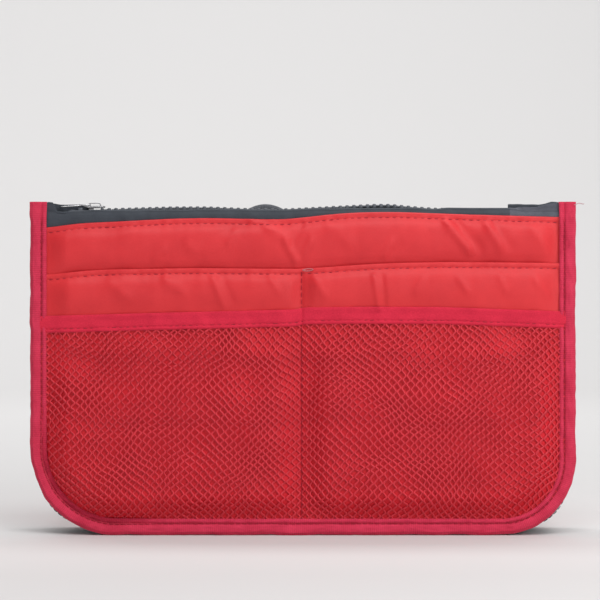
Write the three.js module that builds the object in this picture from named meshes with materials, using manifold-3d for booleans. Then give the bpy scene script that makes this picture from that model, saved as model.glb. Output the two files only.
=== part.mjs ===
// A purse organizer insert: two flat sewn walls with pockets, joined round their sides and bottom
// by a zip and, inside it, a pleated gusset. Undoing that zip lets the walls move apart.
// Millimetres, +Z up, X to the right and Y away from the front. The origin is on the surface
// that it stands on, under the middle of the closed organizer.
import * as THREE from "three";
import Module from "manifold-3d";
import { mergeVertices } from "three/addons/utils/BufferGeometryUtils.js";

// Walls
const width = 280;
const height = 171;
const depth = 38;
const cornerRadius = { left: 44.5, right: 38.5 }; // as sewn, not quite alike
const cloth = 0.5;
const panelCloth = 0.7;
const foam = 1.2;
const gap = 0.2; // between layers that lie on each other
const clear = 0.4; // between pieces that meet edge to edge
const apart = 0.3; // between pieces that would touch face to face
const panelTop = 163;
const cardPocketTop = 137.5;
const meshTop = 115;
const bandHeight = 8.6; // of the tape along the top of the mesh pocket
const frontPaddingTop = 150;
const backPaddingTop = 158;
const backHighTop = 134;
const backLowTop = 92;
const liningTop = 160;
const innerHalfWidth = 106; // of the pockets on the lining
const frontInner = [34, 100];
const backInner = [30, 104];
const innerTrim = 9;
const trimOver = 0.8; // the trim stands over the pocket's edge
const trimOff = 1; // and this far off the lining
const backFoldFrom = 155; // lower edge of the tape folded over the back wall's top

// Binding tape, folded round each wall's edge
const bindingWidth = 8.7;
const bindingThick = 0.7;
const wallEdge = 6;
const layerInset = 1.2; // a layer's edge, inside the binding

// Zips, with moulded teeth
const toothPitch = 3.5;
const toothLength = 2.2;
const toothReach = 2;
const toothThick = 2.2;
const beadWidth = 0.7;
const slit = 1.1; // between the two rows, where the slider's post runs
const tapeThick = 0.5;
const stopLength = 2.2; // of the blocks that stop the slider
const stopNear = 1.2; // their inner side, from the middle of the chain
const endStopHalf = 2.8; // half the width of the one that closes the chain
const stopClear = 1.2; // from the last tooth
const sliderLength = 11;
const sliderHalf = { nose: 3.9, tail: 3.1 }; // half the plates' width
const sliderClear = 0.3;
const plateThick = 0.7;
const postThick = 0.5;
const post = [-3.2, -0.4]; // along the slider, from its middle
const bridge = { legOut: 3.6, legIn: 2.6, half: 1, thick: 0.5, chamfer: 0.6 };
const pullLength = 15.5;
const pullWidth = 4.4;
const pullThick = 0.6;
const pullNeck = { half: 1.9, to: 5, shoulder: 8.5 };
const pullEye = { half: 1.3, to: 4.6 };
const pullHole = { radius: 0.9, offset: 0.4 };

// The zip along the top of the front wall
const topChainY = -10.9;
const topChainZ = 166.9;
const topChainFrom = -101.5;
const topChainTo = 103.5;
const topSliderX = -107.5;
const foldReach = 9.2; // how far the front lining stands back at the zip
const foldStart = 30; // height where it starts to stand back
const foldTop = 158;
const topTapeFrom = 152;
const tapeBend = topChainZ - 0.9; // where the tapes bend over to the teeth
const tapeLap = 0.5; // of the bent strip on the standing one
const chainLeft = topSliderX - sliderLength / 2 - 3; // the ends of the bent strips
const chainRight = topChainTo + 2.5;
// Top edges of the tapes' free ends: distance in from the end, and height.
const frontTapeLeft = [[5, 165.6], [3, 170.8], [0, 171]];
const frontTapeRight = [[0, 170.8], [9, 170.4], [20, 168.2]];
const backTapeTop = { left: 170.3, right: 170.1 };
const pullDroop = 4;

// The zip and the gusset between the walls
const sideInset = 3.8;
const sideRadius = { left: 28.5, right: 22.5 };
const sideTapeTop = 168;
const sideTeethTop = 158;
const sideSliderZ = 153.5;
const seamWidth = 7; // of the tape sewn to a wall
const gussetTop = 158;
const pleatOut = -3.9; // the pleats' outer and inner folds, in from the tape
const pleatIn = -20;
const pleatFolds = [-5, -3.2, 0.8, 4.8, 8.6]; // depths of the folds, front to back

// Handles
const handleWidth = 12;
const handleThick = 1.2;

const wallGap = depth / 2 - wallEdge;
const clothEnd = width / 2 - bindingWidth - clear; // of what lies between the bindings
const pitchHalf = toothPitch / 2;

const materials = {
  redNylon: { color: 0xd8393d, roughness: 0.55, metalness: 0 },
  crimsonTape: { color: 0xcb2f4c, roughness: 0.8, metalness: 0 },
  redMesh: { color: 0xb82430, roughness: 0.7, metalness: 0 },
  greyTape: { color: 0x484b50, roughness: 0.85, metalness: 0 },
  greyTeeth: { color: 0x3c3e44, roughness: 0.4, metalness: 0 },
  silverMetal: { color: 0xc9cacc, roughness: 0.25, metalness: 1 },
  greyLining: { color: 0x55585e, roughness: 0.75, metalness: 0 },
  whiteFoam: { color: 0xe6e4df, roughness: 0.95, metalness: 0 },
};

const wasm = await Module();
wasm.setup();

// ---- solids ----

// A closed mesh from points and triangles, turned to face outwards.
function closedGeometry(points, triangles) {
  let volume = 0;
  for (const [a, b, c] of triangles) {
    volume += points[a].dot(new THREE.Vector3().crossVectors(points[b], points[c]));
  }
  const ordered = volume < 0 ? triangles.map(([a, b, c]) => [a, c, b]) : triangles;
  return new THREE.BufferGeometry().setFromPoints(points).setIndex(ordered.flat());
}

function toManifold(geometry) {
  const bare = geometry.clone();
  bare.deleteAttribute("normal");
  bare.deleteAttribute("uv");
  const merged = mergeVertices(bare, 1e-3);
  const numbers = { numProp: 3, vertProperties: merged.attributes.position.array };
  return new wasm.Manifold(
    new wasm.Mesh({ ...numbers, triVerts: new Uint32Array(merged.index.array) }),
  );
}

// Several closed geometries joined into one.
function joined(...geometries) {
  const { vertProperties, triVerts } = geometries
    .map(toManifold)
    .reduce((sum, solid) => sum.add(solid))
    .getMesh();
  const geometry = new THREE.BufferGeometry();
  geometry.setAttribute("position", new THREE.BufferAttribute(vertProperties, 3));
  return geometry.setIndex(new THREE.BufferAttribute(triVerts, 1));
}

function box([x0, x1], [y0, y1], [z0, z1]) {
  const geometry = new THREE.BoxGeometry(x1 - x0, y1 - y0, z1 - z0);
  return geometry.translate((x0 + x1) / 2, (y0 + y1) / 2, (z0 + z1) / 2);
}

// A shape drawn in X and Z, standing between two depths.
function plate(shape, [y0, y1], curveSegments = 8) {
  const options = { depth: y1 - y0, bevelEnabled: false, curveSegments };
  return new THREE.ExtrudeGeometry(shape, options).rotateX(Math.PI / 2).translate(0, y1, 0);
}

// A section of points in Y and Z, run along X.
function bar(section, [x0, x1]) {
  const shape = new THREE.Shape(section.map(([y, z]) => new THREE.Vector2(y, z)));
  const geometry = new THREE.ExtrudeGeometry(shape, { depth: x1 - x0, bevelEnabled: false });
  const turn = new THREE.Matrix4().makeBasis(
    new THREE.Vector3(0, 1, 0),
    new THREE.Vector3(0, 0, 1),
    new THREE.Vector3(1, 0, 0),
  );
  return geometry.applyMatrix4(turn).translate(x0, 0, 0);
}

// A wall's outline, drawn in by `inset`: square at the top, rounded at the bottom.
function wallShape(inset, top) {
  const side = width / 2 - inset;
  const { left, right } = cornerRadius;
  const [leftArc, rightArc] = [left - inset, right - inset];
  const shape = new THREE.Shape().moveTo(side, top);
  shape.lineTo(-side, top);
  shape.lineTo(-side, left);
  shape.absarc(-side + leftArc, left, leftArc, Math.PI, 1.5 * Math.PI, false);
  shape.absarc(side - rightArc, right, rightArc, 1.5 * Math.PI, 2 * Math.PI, false);
  return shape;
}

// How far the outline, drawn in by `inset`, curves in from its side at a height.
function cornerCut(radius, inset, z) {
  const arc = radius - inset;
  return arc - Math.sqrt(arc ** 2 - Math.max(0, radius - z) ** 2);
}

// ---- runs round a wall's left side, bottom and right side ----

// The run `inset` inside the outline, with corners of its own radii, its length, and the place and
// outward direction at a distance along it from the top left.
function edgeRun(inset, { left, right }, top) {
  const side = width / 2 - inset;
  const down = top - inset - left;
  const leftArc = (Math.PI / 2) * left;
  const across = 2 * side - left - right;
  const rightArc = (Math.PI / 2) * right;
  const up = top - inset - right;
  const onArc = (x, radius, turn) => ({
    x: x + radius * Math.cos(turn),
    z: inset + radius + radius * Math.sin(turn),
    out: [Math.cos(turn), Math.sin(turn)],
  });
  const at = (s) => {
    if (s <= down) return { x: -side, z: top - s, out: [-1, 0] };
    s -= down;
    if (s <= leftArc) return onArc(-side + left, left, Math.PI + s / left);
    s -= leftArc;
    if (s <= across) return { x: -side + left + s, z: inset, out: [0, -1] };
    s -= across;
    if (s <= rightArc) return onArc(side - right, right, 1.5 * Math.PI + s / right);
    s -= rightArc;
    return { x: side, z: inset + right + s, out: [1, 0] };
  };
  // Stops at the ends of the straights and evenly round the corners.
  const arcSteps = 8;
  const round = (from, arc) =>
    Array.from({ length: arcSteps + 1 }, (_, i) => from + (arc * i) / arcSteps);
  const length = down + leftArc + across + rightArc + up;
  const stops = [0, ...round(down, leftArc), ...round(down + leftArc + across, rightArc), length];
  return { at, length, stops };
}

// A section of points [outward, Y] swept along a run. The section may change from stop to stop.
function sweep(run, stops, sectionAt) {
  const points = [];
  const triangles = [];
  const count = sectionAt(0).length;
  stops.forEach((s, k) => {
    const { x, z, out } = run.at(s);
    for (const [n, y] of sectionAt(k)) {
      points.push(new THREE.Vector3(x + n * out[0], y, z + n * out[1]));
    }
  });
  for (let k = 0; k < stops.length - 1; k++) {
    for (let i = 0; i < count; i++) {
      const j = (i + 1) % count;
      const [a, b, c, d] = [k * count + i, k * count + j, (k + 1) * count + j, (k + 1) * count + i];
      triangles.push([a, b, c], [a, c, d]);
    }
  }
  const outline = sectionAt(0).map(([n, y]) => new THREE.Vector2(n, y));
  const turned = THREE.ShapeUtils.isClockWise(outline);
  const last = (stops.length - 1) * count;
  for (const [a, p, q] of THREE.ShapeUtils.triangulateShape(outline, [])) {
    const sameTurn = THREE.ShapeUtils.isClockWise([a, p, q].map((i) => outline[i])) === turned;
    const [b, c] = sameTurn ? [p, q] : [q, p];
    triangles.push([a, c, b], [last + a, last + b, last + c]);
  }
  return closedGeometry(points, triangles);
}

const mirrored = (section, side) => section.map(([n, y]) => [n, side * y]);

// ---- the walls' layers ----

// Depths of the layers, from the outside in, on the side of the front (-1) or the back (+1).
const layerDepths = (() => {
  const depths = {};
  let outside = depth / 2 - bindingThick;
  for (const [name, thick] of [
    ["lowPocket", cloth],
    ["highPocket", cloth],
    ["panel", panelCloth],
    ["padding", foam],
    ["lining", cloth],
  ]) {
    outside -= gap;
    depths[name] = [outside - thick, outside];
    outside -= thick;
  }
  return depths;
})();

const onSide = ([near, far], side) => (side < 0 ? [-far, -near] : [near, far]);

function layer(name, side, top, inset = layerInset) {
  return plate(wallShape(inset, top), onSide(layerDepths[name], side));
}

// Binding tape folded round the edge of a wall: a channel, open towards the wall's middle.
function binding(side) {
  const [inner, outer] = [wallGap, depth / 2];
  const section = [
    [0, outer],
    [-bindingWidth, outer],
    [-bindingWidth, outer - bindingThick],
    [-bindingThick, outer - bindingThick],
    [-bindingThick, inner + bindingThick],
    [-bindingWidth, inner + bindingThick],
    [-bindingWidth, inner],
    [0, inner],
  ];
  const run = edgeRun(0, cornerRadius, height);
  return sweep(run, run.stops, () => mirrored(section, side));
}

// Tape along the top of a low pocket: down its face, and folded over its edge.
function pocketBand(side, top) {
  const [near, far] = layerDepths.lowPocket;
  const face = far + 0.1;
  const section = [
    [face, top - bandHeight],
    [face + cloth, top - bandHeight],
    [face + cloth, top + gap + cloth],
    [near, top + gap + cloth],
    [near, top + gap],
    [face, top + gap],
  ];
  return bar(
    section.map(([y, z]) => [side * y, z]),
    [-clothEnd, clothEnd],
  );
}

// The front mesh pocket: a net, coarser than the real one, with diamond gaps in staggered rows
// and a whole margin under the binding and the band.
function meshPocket() {
  const shape = wallShape(layerInset, meshTop);
  const spacing = 14.6;
  const strand = 1.6;
  const gapReach = (spacing - strand * Math.SQRT2) / 2;
  const margin = bindingWidth + gapReach + 0.6;
  const rowStep = spacing / 2;
  const rows = 12;
  const lowest = meshTop - bandHeight - gapReach - strand / 2 - (rows - 1) * rowStep;
  for (let row = 0; row < rows; row++) {
    const z = lowest + row * rowStep;
    const reach = (radius) => width / 2 - margin - cornerCut(radius, 0, z);
    const shift = row % 2 ? spacing / 2 : 0;
    for (let column = -rows; column <= rows; column++) {
      const x = column * spacing + shift;
      if (x < -reach(cornerRadius.left) || x > reach(cornerRadius.right)) continue;
      const diamond = new THREE.Path().moveTo(x + gapReach, z);
      diamond.lineTo(x, z + gapReach);
      diamond.lineTo(x - gapReach, z);
      diamond.lineTo(x, z - gapReach);
      shape.holes.push(diamond);
    }
  }
  return plate(shape, onSide(layerDepths.lowPocket, -1));
}

// How far the front zip's fold is open at a place along it: 1 over the zip, closing to the ends.
const foldStraight = 123;
const foldWidth = clothEnd - foldStraight;
const foldStops = [0, 0.22, 0.42, 0.62, 0.82, 1].map((t) => foldStraight + foldWidth * t);

function foldAt(x) {
  const closing = (Math.abs(x) - foldStraight) / foldWidth;
  return (1 + Math.cos(Math.PI * Math.min(1, Math.max(0, closing)))) / 2;
}

const foldRise = (z) => Math.max(0, (z - foldStart) / (foldTop - foldStart));

// The front lining lies on the wall at its sides and bottom and stands back towards the zip.
function frontLining() {
  const [near] = layerDepths.lining;
  const outer = -near - cloth;
  const side = width / 2 - layerInset;
  const shares = [...foldStops, side].map((x) => x / side);
  const columns = [...shares.map((s) => -s).reverse(), ...shares];
  const arcTurns = [90, 65, 45, 25, 10];
  const { left, right } = cornerRadius;
  const heights = arcTurns.map((t) => left - (left - layerInset) * Math.sin((t * Math.PI) / 180));
  heights.push(left, 70, 100, 130, liningTop);
  const points = [];
  for (const thick of [0, cloth]) {
    for (const z of heights) {
      for (const share of columns) {
        const reach = side - cornerCut(share < 0 ? left : right, layerInset, z);
        const back = foldReach * foldAt(share * side) * foldRise(z);
        points.push(new THREE.Vector3(share * reach, outer + back + thick, z));
      }
    }
  }
  const [across, up] = [columns.length, heights.length];
  const skin = across * up;
  const triangles = [];
  for (let r = 0; r < up - 1; r++) {
    for (let c = 0; c < across - 1; c++) {
      const a = r * across + c;
      const b = a + across;
      triangles.push([a, a + 1, b + 1], [a, b + 1, b]);
      triangles.push([skin + a, skin + b + 1, skin + a + 1], [skin + a, skin + b, skin + b + 1]);
    }
  }
  const rim = [];
  for (let c = 0; c < across - 1; c++) rim.push(c);
  for (let r = 0; r < up - 1; r++) rim.push(r * across + across - 1);
  for (let c = across - 1; c > 0; c--) rim.push((up - 1) * across + c);
  for (let r = up - 1; r > 0; r--) rim.push(r * across);
  rim.forEach((a, i) => {
    const b = rim[(i + 1) % rim.length];
    triangles.push([a, skin + b, b], [a, skin + a, skin + b]);
  });
  return closedGeometry(points, triangles);
}

// How deep the front lining's inner face is at a height, over its straight part.
const liningFace = (z) => -layerDepths.lining[0] + foldReach * foldRise(z);

// A flat piece on the inside of a wall, `from` to `to` high, at a distance off the wall's lining.
function innerPiece(side, [from, to], off) {
  const face = side < 0 ? liningFace : () => -layerDepths.lining[0];
  const section = [
    [face(from) + off, from],
    [face(from) + off + cloth, from],
    [face(to) + off + cloth, to],
    [face(to) + off, to],
  ];
  return bar(
    section.map(([y, z]) => [side < 0 ? y : -y, z]),
    [-innerHalfWidth, innerHalfWidth],
  );
}

const innerPocket = (side, span) => innerPiece(side, span, apart);
const innerBand = (side, [, top]) => innerPiece(side, [top - innerTrim, top + trimOver], trimOff);

// ---- the zip along the top of the front wall ----

const topLip = topChainZ + tapeThick / 2;
const tapeRound = 0.3; // of the edge where a tape bends over
const rowOuter = slit / 2 + toothReach + beadWidth;

// A row of moulded teeth on a bead, drawn along X and across Y, reaching to y = 0.
function teethRow(from, to) {
  const shape = new THREE.Shape().moveTo(from, -toothReach - beadWidth);
  shape.lineTo(to, -toothReach - beadWidth);
  shape.lineTo(to, -toothReach);
  const count = Math.floor((to - from) / toothPitch);
  for (let i = count - 1; i >= 0; i--) {
    const middle = from + (i + 0.5) * toothPitch;
    shape.lineTo(middle + toothLength / 2, -toothReach);
    shape.lineTo(middle + toothLength / 3, 0);
    shape.lineTo(middle - toothLength / 3, 0);
    shape.lineTo(middle - toothLength / 2, -toothReach);
  }
  shape.lineTo(from, -toothReach);
  const geometry = new THREE.ExtrudeGeometry(shape, { depth: toothThick, bevelEnabled: false });
  return geometry.translate(0, 0, -toothThick / 2);
}

// The front tape stands behind the panel's hem, bends over to the teeth, and stands free past
// both ends of the chain.
function topFrontTape() {
  const face = [-layerDepths.panel[0] + gap, -layerDepths.panel[0] + gap + tapeThick];
  const outline = [
    [-clothEnd, topTapeFrom],
    [clothEnd, topTapeFrom],
    ...frontTapeRight.map(([inward, z]) => [clothEnd - inward, z]),
    [chainRight, topLip + tapeThick],
    [chainRight, tapeBend],
    [chainLeft, tapeBend],
    [chainLeft - 1, topLip - tapeThick],
    ...frontTapeLeft.map(([inward, z]) => [-clothEnd + inward, z]),
  ];
  const standing = plate(new THREE.Shape(outline.map(([x, z]) => new THREE.Vector2(x, z))), face);
  const lipEdge = topChainY - rowOuter - sliderClear;
  const lip = [
    [face[0], tapeBend - tapeLap],
    [face[1], tapeBend - tapeLap],
    [face[1], tapeBend],
    [lipEdge, topLip - tapeThick],
    [lipEdge, topLip],
    [face[1] - tapeRound / 2, topLip],
    [face[0], tapeBend + tapeRound],
  ];
  return joined(standing, bar(lip, [chainLeft, chainRight]));
}

// The back tape runs down the front of the lining, in plan a ribbon that draws in at its ends.
function topBackTape() {
  const off = -layerDepths.lining[1] - gap - tapeThick;
  const reach = foldReach * foldRise(topTapeFrom);
  const ribbon = (x0, x1, [z0, z1]) => {
    const bends = [...foldStops.map((x) => -x).reverse(), ...foldStops];
    const stops = [x0, ...bends.filter((x) => x > x0 + 0.1 && x < x1 - 0.1), x1];
    const near = stops.map((x) => new THREE.Vector2(x, off + reach * foldAt(x)));
    const far = near.map(({ x, y }) => new THREE.Vector2(x, y + tapeThick)).reverse();
    const geometry = new THREE.ExtrudeGeometry(new THREE.Shape([...near, ...far]), {
      depth: z1 - z0,
      bevelEnabled: false,
    });
    return geometry.translate(0, 0, z0);
  };
  const face = off + reach;
  const lipEdge = topChainY + rowOuter + sliderClear;
  const lip = [
    [face, tapeBend - tapeLap],
    [face + tapeThick, tapeBend - tapeLap],
    [face + tapeThick, tapeBend + tapeRound],
    [face + tapeRound / 2, topLip],
    [lipEdge, topLip],
    [lipEdge, topLip - tapeThick],
    [face, tapeBend],
  ];
  const endsFrom = tapeBend - 2 * tapeLap;
  return joined(
    ribbon(-clothEnd, clothEnd, [topTapeFrom, tapeBend]),
    ribbon(-clothEnd, chainLeft, [endsFrom, backTapeTop.left]),
    ribbon(chainRight, clothEnd, [endsFrom, backTapeTop.right]),
    bar(lip, [chainLeft, chainRight]),
  );
}

// ---- sliders and pulls, drawn round a chain that runs along X in the plane z = 0 ----

const plateFrom = toothThick / 2 + sliderClear;
const plateTo = plateFrom + plateThick;
const tunnel = 1.3;
const bridgeTo = plateTo + tunnel + bridge.thick;
const pullAxis = plateTo + tunnel / 2;
const pullSet = 2.2; // the pull's bar lies this far to the nose side of the bridge's middle
const sunk = 0.2; // how far joined pieces reach into each other

// Two plates, the post that joins them through the slit, and the bridge that holds the pull.
function sliderGeometry() {
  const [nose, tail] = [-sliderLength / 2, sliderLength / 2];
  const { nose: wide, tail: narrow } = sliderHalf;
  const [noseRound, tailRound] = [1.8, 1.1];
  const outline = new THREE.Shape().moveTo(nose + noseRound, -wide);
  outline.quadraticCurveTo(nose, -wide, nose, -wide + noseRound);
  outline.lineTo(nose, wide - noseRound);
  outline.quadraticCurveTo(nose, wide, nose + noseRound, wide);
  outline.lineTo(tail - tailRound, narrow);
  outline.quadraticCurveTo(tail, narrow, tail, narrow - tailRound);
  outline.lineTo(tail, -narrow + tailRound);
  outline.quadraticCurveTo(tail, -narrow, tail - tailRound, -narrow);
  const options = { depth: plateThick, bevelEnabled: false, curveSegments: 4 };
  const upper = new THREE.ExtrudeGeometry(outline, options).translate(0, 0, plateFrom);
  const lower = new THREE.ExtrudeGeometry(outline, options).translate(0, 0, -plateTo);
  const postHalf = plateFrom + sunk;
  const standing = box(post, [-postThick / 2, postThick / 2], [-postHalf, postHalf]);
  const { legOut, legIn, half, thick, chamfer } = bridge;
  const foot = plateTo - sunk;
  const leg = [
    [legIn, foot],
    [legOut, foot],
    [legOut, bridgeTo - thick],
    [legOut - chamfer, bridgeTo],
  ];
  const arch = new THREE.Shape([
    new THREE.Vector2(legIn, bridgeTo - thick),
    ...leg.map(([x, z]) => new THREE.Vector2(x, z)),
    ...leg.map(([x, z]) => new THREE.Vector2(-x, z)).reverse(),
    new THREE.Vector2(-legIn, bridgeTo - thick),
  ]);
  return joined(upper, lower, standing, plate(arch, [-half, half]));
}

// A flat tab that runs to -X from the bar inside the bridge, with an eye round the bridge.
function pullGeometry(droop) {
  const half = pullWidth / 2;
  const bar = pullThick / 2;
  const { half: neck, to: neckEnd, shoulder } = pullNeck;
  const bow = (neckEnd + shoulder) / 2;
  const roundX = -pullLength + half;
  const outline = new THREE.Shape().moveTo(bar, -neck);
  outline.lineTo(bar, neck);
  outline.lineTo(-neckEnd, neck);
  outline.quadraticCurveTo(-bow, neck, -shoulder, half);
  outline.lineTo(roundX, half);
  outline.absarc(roundX, 0, half, Math.PI / 2, 1.5 * Math.PI, false);
  outline.lineTo(-shoulder, -half);
  outline.quadraticCurveTo(-bow, -neck, -neckEnd, -neck);
  const eye = new THREE.Path().moveTo(-bar, -pullEye.half);
  eye.lineTo(-bar, pullEye.half);
  eye.lineTo(-pullEye.to, pullEye.half);
  eye.lineTo(-pullEye.to, -pullEye.half);
  outline.holes.push(eye);
  const hole = new THREE.Path();
  hole.absarc(roundX + pullHole.offset, 0, pullHole.radius, 0, 2 * Math.PI, true);
  outline.holes.push(hole);
  const options = { depth: pullThick, bevelEnabled: false, curveSegments: 6 };
  const geometry = new THREE.ExtrudeGeometry(outline, options).translate(0, 0, -pullThick / 2);
  return geometry.rotateY((-droop * Math.PI) / 180);
}

// ---- the zip and the gusset between the walls ----

const sideRun = edgeRun(sideInset, sideRadius, sideTapeTop);
const teethStart = sideTapeTop - sideTeethTop;
const teethCount = Math.floor((sideRun.length - 2 * teethStart) / toothPitch);
const sideMid = -tapeThick / 2; // the teeth lie either side of the tape

// Tape round the walls' edge, with the seam allowance that lies on the wall's back.
function sideTape(side) {
  const seam = wallGap - apart;
  const free = rowOuter + sliderClear;
  const section = [
    [0, free],
    [0, seam],
    [-seamWidth, seam],
    [-seamWidth, seam - tapeThick],
    [-tapeThick, seam - tapeThick],
    [-tapeThick, free],
  ];
  return sweep(sideRun, sideRun.stops, () => mirrored(section, side));
}

// The teeth as one row: the section is deep at each tooth and shallow between teeth.
function sideTeeth(side) {
  const stops = Array.from({ length: 2 * teethCount + 1 }, (_, i) => teethStart + i * pitchHalf);
  const [low, high] = [sideMid - toothThick / 2, sideMid + toothThick / 2];
  return sweep(sideRun, stops, (k) => {
    const tip = k % 2 ? slit / 2 : slit / 2 + toothReach;
    const section = [
      [low, rowOuter],
      [high, rowOuter],
      [high, tip],
      [low, tip],
    ];
    return mirrored(section, side);
  });
}

// A small block that stops the slider, at the end of one row.
function sideStop(side, end) {
  const x = (width / 2 - sideInset + sideMid) * end;
  const out = toothThick / 2;
  const low = sideTeethTop + stopClear;
  const across = [stopNear, rowOuter].map((y) => y * side).sort((a, b) => a - b);
  return box([x - out, x + out], across, [low, low + stopLength]);
}

// The gusset, folded in pleats between the walls while the zip round it is closed.
function gusset() {
  const run = edgeRun(sideInset, sideRadius, gussetTop);
  const [outer, inner] = [pleatOut, pleatIn];
  const seam = wallGap - apart - tapeThick - clear;
  const [first, deep, middle, deeper, last] = pleatFolds;
  const line = [
    [outer - seamWidth / 2, -seam],
    [outer, -seam],
    [outer, first],
    [inner, deep],
    [outer - 1, middle],
    [inner, deeper],
    [outer, last],
    [outer, seam],
    [outer - seamWidth / 2, seam],
  ].map(([n, y]) => new THREE.Vector2(n, y));
  // Each corner of the folded line is moved out along its mitre, to both sides of the cloth.
  const moved = (amount) =>
    line.map((point, i) => {
      const before = point.clone().sub(line[Math.max(i - 1, 0)]).normalize();
      const after = line[Math.min(i + 1, line.length - 1)].clone().sub(point).normalize();
      const along = before.clone().add(after).normalize();
      const across = new THREE.Vector2(-along.y, along.x);
      const facing = i === 0 ? after : before;
      const share = Math.max(0.35, Math.abs(across.dot(new THREE.Vector2(-facing.y, facing.x))));
      return point.clone().addScaledVector(across, amount / share);
    });
  const section = [...moved(cloth / 2), ...moved(-cloth / 2).reverse()].map(({ x, y }) => [x, y]);
  return sweep(run, run.stops, () => section);
}

// ---- handles ----

// A flat strap that follows a line of points in X and Z, sewn to the lining at both its ends.
function handle(line, side) {
  const curve = new THREE.CatmullRomCurve3(line.map(([x, z]) => new THREE.Vector3(x, 0, z)));
  const steps = 22;
  const edges = [[], []];
  for (let i = 0; i <= steps; i++) {
    const { x, z } = curve.getPointAt(i / steps);
    const along = curve.getTangentAt(i / steps);
    edges[0].push(new THREE.Vector2(x - (along.z * handleWidth) / 2, z + (along.x * handleWidth) / 2));
    edges[1].push(new THREE.Vector2(x + (along.z * handleWidth) / 2, z - (along.x * handleWidth) / 2));
  }
  const shape = new THREE.Shape([...edges[0], ...edges[1].reverse()]);
  if (side > 0) {
    const face = layerDepths.lining[0] - trimOff;
    return plate(shape, [face - handleThick, face]);
  }
  const geometry = plate(shape, [0, handleThick]);
  const place = geometry.attributes.position;
  for (let i = 0; i < place.count; i++) {
    place.setY(i, place.getY(i) + liningFace(place.getZ(i)) + apart);
  }
  return geometry;
}

// ---- the object ----

const organizer = new THREE.Group();

function add(parent, name, geometry, material) {
  const mesh = new THREE.Mesh(geometry, new THREE.MeshStandardMaterial(materials[material]));
  mesh.name = name;
  parent.add(mesh);
  return mesh;
}

function frontWall() {
  const wall = new THREE.Group();
  add(wall, "front_panel", layer("panel", -1, panelTop), "redNylon");
  add(wall, "front_card_pocket", layer("highPocket", -1, cardPocketTop), "redNylon");
  add(wall, "front_mesh_pocket", meshPocket(), "redMesh");
  add(wall, "front_mesh_band", pocketBand(-1, meshTop), "crimsonTape");
  add(wall, "front_binding", binding(-1), "crimsonTape");
  const padding = layer("padding", -1, frontPaddingTop, bindingWidth + clear);
  add(wall, "front_padding", padding, "whiteFoam");
  add(wall, "front_lining", frontLining(), "greyLining");
  add(wall, "front_inner_pocket", innerPocket(-1, frontInner), "greyLining");
  add(wall, "front_inner_band", innerBand(-1, frontInner), "greyTape");
  return wall;
}

function backWall() {
  const wall = new THREE.Group();
  const [liningIn, panelOut] = [layerDepths.lining[0], layerDepths.panel[1]];
  add(wall, "back_panel", layer("panel", 1, panelTop), "redNylon");
  add(wall, "back_high_pocket", layer("highPocket", 1, backHighTop), "redNylon");
  add(wall, "back_low_pocket", layer("lowPocket", 1, backLowTop), "redNylon");
  add(wall, "back_low_band", pocketBand(1, backLowTop), "crimsonTape");
  add(wall, "back_binding", binding(1), "crimsonTape");
  const padding = layer("padding", 1, backPaddingTop, bindingWidth + clear);
  add(wall, "back_padding", padding, "whiteFoam");
  add(wall, "back_lining", layer("lining", 1, panelTop), "greyLining");
  add(wall, "back_inner_pocket", innerPocket(1, backInner), "greyLining");
  add(wall, "back_inner_band", innerBand(1, backInner), "greyTape");
  const [foldIn, foldOut] = [liningIn - apart, panelOut + apart];
  const fold = [
    [foldIn, backFoldFrom],
    [foldIn, panelTop + gap],
    [foldOut, panelTop + gap],
    [foldOut, backFoldFrom],
    [foldOut + cloth, backFoldFrom],
    [foldOut + cloth, panelTop + gap + cloth],
    [foldIn - cloth, panelTop + gap + cloth],
    [foldIn - cloth, backFoldFrom],
  ];
  add(wall, "back_top_binding", bar(fold, [-clothEnd, clothEnd]), "greyTape");
  return wall;
}

function topZip() {
  const zip = new THREE.Group();
  add(zip, "top_zip_front_tape", topFrontTape(), "greyTape");
  add(zip, "top_zip_back_tape", topBackTape(), "greyTape");
  const chain = new THREE.Group();
  chain.position.set(0, topChainY, topChainZ);
  const row = add(chain, "top_zip_front_teeth", teethRow(topChainFrom, topChainTo), "greyTeeth");
  row.position.y = -slit / 2;
  const half = teethRow(topChainFrom + pitchHalf, topChainTo - pitchHalf);
  const facing = add(chain, "top_zip_back_teeth", half.rotateZ(Math.PI), "greyTeeth");
  facing.position.set(topChainFrom + topChainTo, slit / 2, 0);
  const thick = [-toothThick / 2, toothThick / 2];
  const end = [topChainTo + clear, topChainTo + clear + stopLength];
  add(chain, "top_zip_end_stop", box(end, [-endStopHalf, endStopHalf], thick), "greyTeeth");
  const top = topSliderX - sliderLength / 2 - clear;
  const start = [top - stopLength, top];
  add(chain, "top_zip_front_stop", box(start, [-rowOuter, -stopNear], thick), "greyTeeth");
  add(chain, "top_zip_back_stop", box(start, [stopNear, rowOuter], thick), "greyTeeth");
  const slider = new THREE.Group();
  slider.position.x = topSliderX;
  add(slider, "top_zip_slider", sliderGeometry(), "silverMetal");
  const pull = add(slider, "top_zip_pull", pullGeometry(pullDroop), "silverMetal");
  pull.position.set(-pullSet, 0, pullAxis);
  chain.add(slider);
  zip.add(chain);
  return zip;
}

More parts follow.
